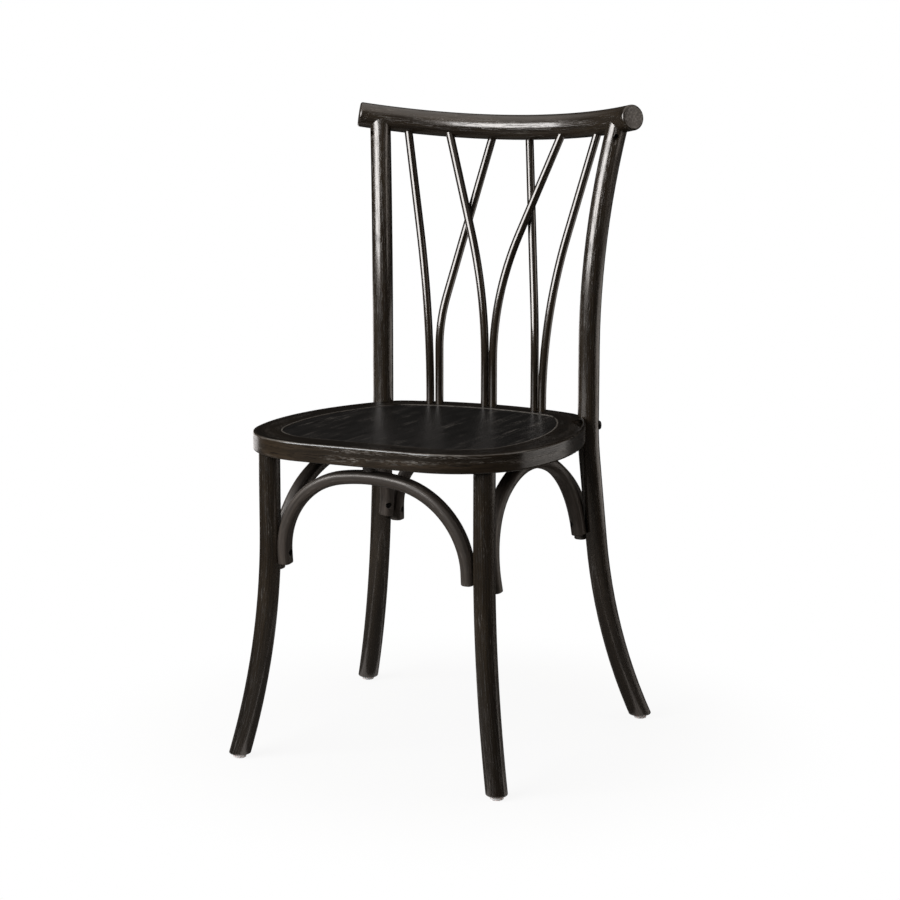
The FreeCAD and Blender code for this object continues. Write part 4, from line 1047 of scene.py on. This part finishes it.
@dataclass(frozen=True)
class Spindles:
    """Six bent rods of the back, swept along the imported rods' centre lines."""

    nodes: tuple[str, ...] = (
        "spindle_a_outer", "spindle_a_inner", "spindle_b_left", "spindle_b_right",
        "spindle_c_inner", "spindle_c_outer",
    )
    diameter: float = 12.0 * MM
    tenon_share: float = 0.75
    tenon_step: float = 0.05 * MM
    ring_spacing: float = 4.0 * MM
    end_margin: float = 6.0 * MM
    end_rings: int = 3

    def build(self) -> None:
        """Sweep every rod and put it in its place."""
        material = LacqueredWood(
            "rod_lacquer", roughness=0.16, dashes=pale_dashes(1.0 * MM, 15.0 * MM, 0.70),
            relief=0.03, unevenness=0.4,
        ).build()
        tree = RodTree("bent_rod")
        for node in self.nodes:
            line, girth = self.centre_line(node)
            rod = place_mesh(tree.sweep(f"{node}_rod", line, girth, self.diameter, material))
            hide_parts(node)
            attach(rod, BODY)
            log.info("%s: %d faces", rod.name, len(rod.data.polygons))

    def centre_line(self, node: str) -> tuple[np.ndarray, np.ndarray]:
        """Centre line of a rod from its tenon to its end in the rail.

        Args:
            node: Packed rod.

        Returns:
            Points of the line and the share of the diameter at each.
        """
        mesh = merged_copy(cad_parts[node], f"{node}_measured")
        points, edges = mesh_arrays(mesh)
        bpy.data.meshes.remove(mesh)
        low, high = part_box(node)
        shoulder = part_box("seat_frame")[1].z
        sections = line_sections(points, 2, self.ring_spacing, self.end_margin)
        centres = np.array([section.centre(points, edges) for section in sections])
        above = centres[centres[:, 2] > shoulder + self.ring_spacing / 2]
        foot = np.array([*centres[0, :2], shoulder])
        tenon = [np.array([*foot[:2], low.z]), foot - Z_AXIS * self.tenon_step]
        last = above[-1]
        course = last - above[-1 - self.end_rings]
        course /= np.linalg.norm(course)
        tip_z = high.z - self.diameter / 2 * math.hypot(course[0], course[1])
        tip = last + course * (tip_z - last[2]) / course[2]
        line = np.vstack([*tenon, foot, above, tip])
        girth = np.ones(len(line))
        girth[:len(tenon)] = self.tenon_share
        return line, girth


@dataclass(frozen=True)
class Fittings:
    """Fasteners and glides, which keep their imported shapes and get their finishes."""

    blackened: tuple[str, ...] = ("seat_bolts", "brace_leg_screws", "brace_seat_screws", "rail_screws")
    bright: tuple[str, ...] = ("barrel_nuts", "glide_nails")
    glides: tuple[str, ...] = (
        "glide_front_left", "glide_front_right", "glide_rear_left", "glide_rear_right",
    )

    def build(self) -> None:
        """Give every fitting its finish."""
        black = Metal(
            "blackened_steel", colour=(0.012, 0.011, 0.010), rubbed=(0.05, 0.047, 0.044),
            metallic=0.65, roughness=0.38,
        ).build()
        steel = Metal(
            "bright_steel", colour=(0.42, 0.41, 0.40), rubbed=(0.58, 0.57, 0.55),
            metallic=1.0, roughness=0.30,
        ).build()
        plastic = MouldedPlastic("glide_plastic").build()
        for nodes, material in ((self.blackened, black), (self.bright, steel), (self.glides, plastic)):
            for node in nodes:
                refinish(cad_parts[node], material)
                log.info("%s: %s", node, material.name)


def refinish(node: bpy.types.Object, material: bpy.types.Material) -> None:
    """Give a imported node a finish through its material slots.

    Args:
        node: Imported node.
        material: New finish.
    """
    if not node.material_slots:
        node.data.materials.append(material)
    for slot in node.material_slots:
        slot.material = material


# Studio

def heading(azimuth: float, elevation: float) -> Vector:
    """Unit vector from the chair towards a bearing; 0 is straight ahead of the chair, 90 its right."""
    turn, tilt = math.radians(azimuth), math.radians(elevation)
    return Vector((math.sin(turn) * math.cos(tilt), -math.cos(turn) * math.cos(tilt), math.sin(tilt)))


@dataclass(frozen=True)
class Softbox:
    """Rectangular soft light that faces a point of the chair."""

    name: str
    azimuth: float
    elevation: float
    distance: float
    width: float
    height: float
    power: float
    colour: Colour = WHITE
    aim: tuple[float, float, float] = (0.0, 0.0, 0.62)

    def build(self) -> None:
        """Add the light."""
        data = bpy.data.lights.new(self.name, "AREA")
        data.shape = "RECTANGLE"
        data.size, data.size_y = self.width, self.height
        data.energy = self.power
        data.color = self.colour
        light = bpy.data.objects.new(self.name, data)
        away = heading(self.azimuth, self.elevation)
        light.location = Vector(self.aim) + away * self.distance
        light.rotation_euler = away.to_track_quat("Z", "Y").to_euler()
        light.visible_camera = False
        bpy.context.scene.collection.objects.link(light)


@dataclass(frozen=True)
class Studio:
    """Camera, soft lights, white world and pale floor."""

    azimuth: float = 26.963
    elevation: float = 9.226
    distance: float = 3.059817
    target: tuple[float, float, float] = (0.0, -0.006, 0.450)
    image_side: float = 900.0
    focal_pixels: float = 2197.618
    centre_pixels: tuple[float, float] = (-11.643, -28.158)
    sensor: float = 36.0
    floor_radius: float = 1.0
    floor_sides: int = 96
    floor_shade: Colour = (0.13, 0.12, 0.11)
    floor_paper: Colour = (0.80, 0.77, 0.75)
    card_starts: tuple[float, float] = (0.275, 0.285)
    card_ends: tuple[float, float] = (0.315, 0.325)
    glow_share: tuple[float, float] = (0.90, 1.0)
    glow_fade: tuple[float, float] = (0.25, 0.60)
    ambient: float = 0.022
    ambient_colour: Colour = (1.0, 0.98, 0.96)
    sky: float = 0.70
    sky_colour: Colour = (1.0, 0.97, 0.94)
    sky_from: tuple[float, float] = (0.50, 0.88)
    softboxes: tuple[Softbox, ...] = (
        Softbox("key", azimuth=-29.0, elevation=21.0, distance=2.4, width=2.1, height=1.4,
                power=74.0, colour=(0.94, 0.97, 1.0)),
        Softbox("right_fill", azimuth=100.0, elevation=16.0, distance=2.4, width=1.4, height=1.0,
                power=6.0, colour=(1.0, 0.95, 0.90)),
        Softbox("rear_left", azimuth=-125.0, elevation=0.0, distance=2.2, width=1.7, height=0.42,
                power=3.6, colour=(1.0, 0.96, 0.95), aim=(0.0, 0.0, 0.21)),
        Softbox("rear_right", azimuth=130.0, elevation=0.0, distance=2.2, width=2.0, height=0.42,
                power=2.4, colour=(1.0, 0.95, 0.90), aim=(0.0, 0.0, 0.21)),
    )

    def build(self) -> None:
        """Set up everything around the chair."""
        bpy.context.scene.view_settings.view_transform = "Standard"
        self.add_camera()
        self.add_world()
        self.add_floor()
        for softbox in self.softboxes:
            softbox.build()
        log.info("studio: %d softboxes", len(self.softboxes))

    def add_camera(self) -> None:
        """Add the camera at the photograph's angle."""
        data = bpy.data.cameras.new("camera")
        data.sensor_width = data.sensor_height = self.sensor
        data.lens = self.focal_pixels / self.image_side * self.sensor
        data.shift_x = -self.centre_pixels[0] / self.image_side
        data.shift_y = self.centre_pixels[1] / self.image_side
        camera = bpy.data.objects.new("camera", data)
        away = heading(self.azimuth, self.elevation)
        camera.location = Vector(self.target) + away * self.distance
        camera.rotation_euler = away.to_track_quat("Z", "Y").to_euler()
        bpy.context.scene.collection.objects.link(camera)
        bpy.context.scene.camera = camera

    def add_world(self) -> None:
        """Add a world that is white to the camera and, to the chair, dim all round and pale overhead."""
        world = bpy.data.worlds.new("studio")
        world.use_nodes = True
        bpy.context.scene.world = world
        graph = Graph(world.node_tree)
        seen = graph.add("ShaderNodeLightPath", {}, {}, "Is Camera Ray")
        white = self.background(graph, WHITE, 1.0)
        dim = self.background(graph, self.ambient_colour, self.ambient)
        sky = self.background(graph, self.sky_colour, self.sky)
        way = graph.add("ShaderNodeTexCoord", {}, {}, "Generated")
        height = graph.parts(way).other("Z")
        room = graph.add("ShaderNodeMixShader", {}, {0: graph.rise(height, *self.sky_from), 1: dim, 2: sky})
        shader = graph.add("ShaderNodeMixShader", {}, {0: seen, 1: room, 2: white})
        graph.add("ShaderNodeOutputWorld", {}, {"Surface": shader})

    @staticmethod
    def background(graph: Graph, colour: Colour, strength: float) -> Signal:
        """Even light from the world."""
        return graph.add("ShaderNodeBackground", {}, {"Color": colour, "Strength": strength})

    def add_floor(self) -> None:
        """Add a pale round floor that fades to white, with a ring of white card that lights the glides."""
        mesh = bpy.data.meshes.new("floor")
        work = bmesh.new()
        bmesh.ops.create_circle(work, cap_ends=True, segments=self.floor_sides, radius=self.floor_radius)
        work.to_mesh(mesh)
        work.free()
        material, graph = new_material("pale_floor")
        place = graph.add("ShaderNodeTexCoord", {}, {}, "Object")
        reach = graph.add("ShaderNodeVectorMath", {"operation": "LENGTH"}, {0: place}, "Value")
        seen = graph.add("ShaderNodeLightPath", {}, {}, "Is Camera Ray")
        card = graph.rise(reach, *self.card_starts) * (1.0 - graph.rise(reach, *self.card_ends))
        tone = graph.mix(graph.mix(seen, card, WHITE), self.floor_shade, self.floor_paper)
        paper = graph.add("ShaderNodeBsdfDiffuse", {}, {"Color": tone})
        glow = graph.add("ShaderNodeEmission", {}, {"Color": WHITE, "Strength": 1.0})
        share = seen * graph.rise(reach, *self.glow_fade).spread(*self.glow_share)
        graph.finish_with(graph.add("ShaderNodeMixShader", {}, {0: share, 1: paper, 2: glow}))
        mesh.materials.append(material)
        place_mesh(mesh)


def main() -> None:
    """Dress the chair and set up the studio."""
    logging.basicConfig(level=logging.INFO, format="%(message)s")
    Seat().build()
    Frame().build()
    Spindles().build()
    Fittings().build()
    Studio().build()


if __name__ == "__main__":
    main()
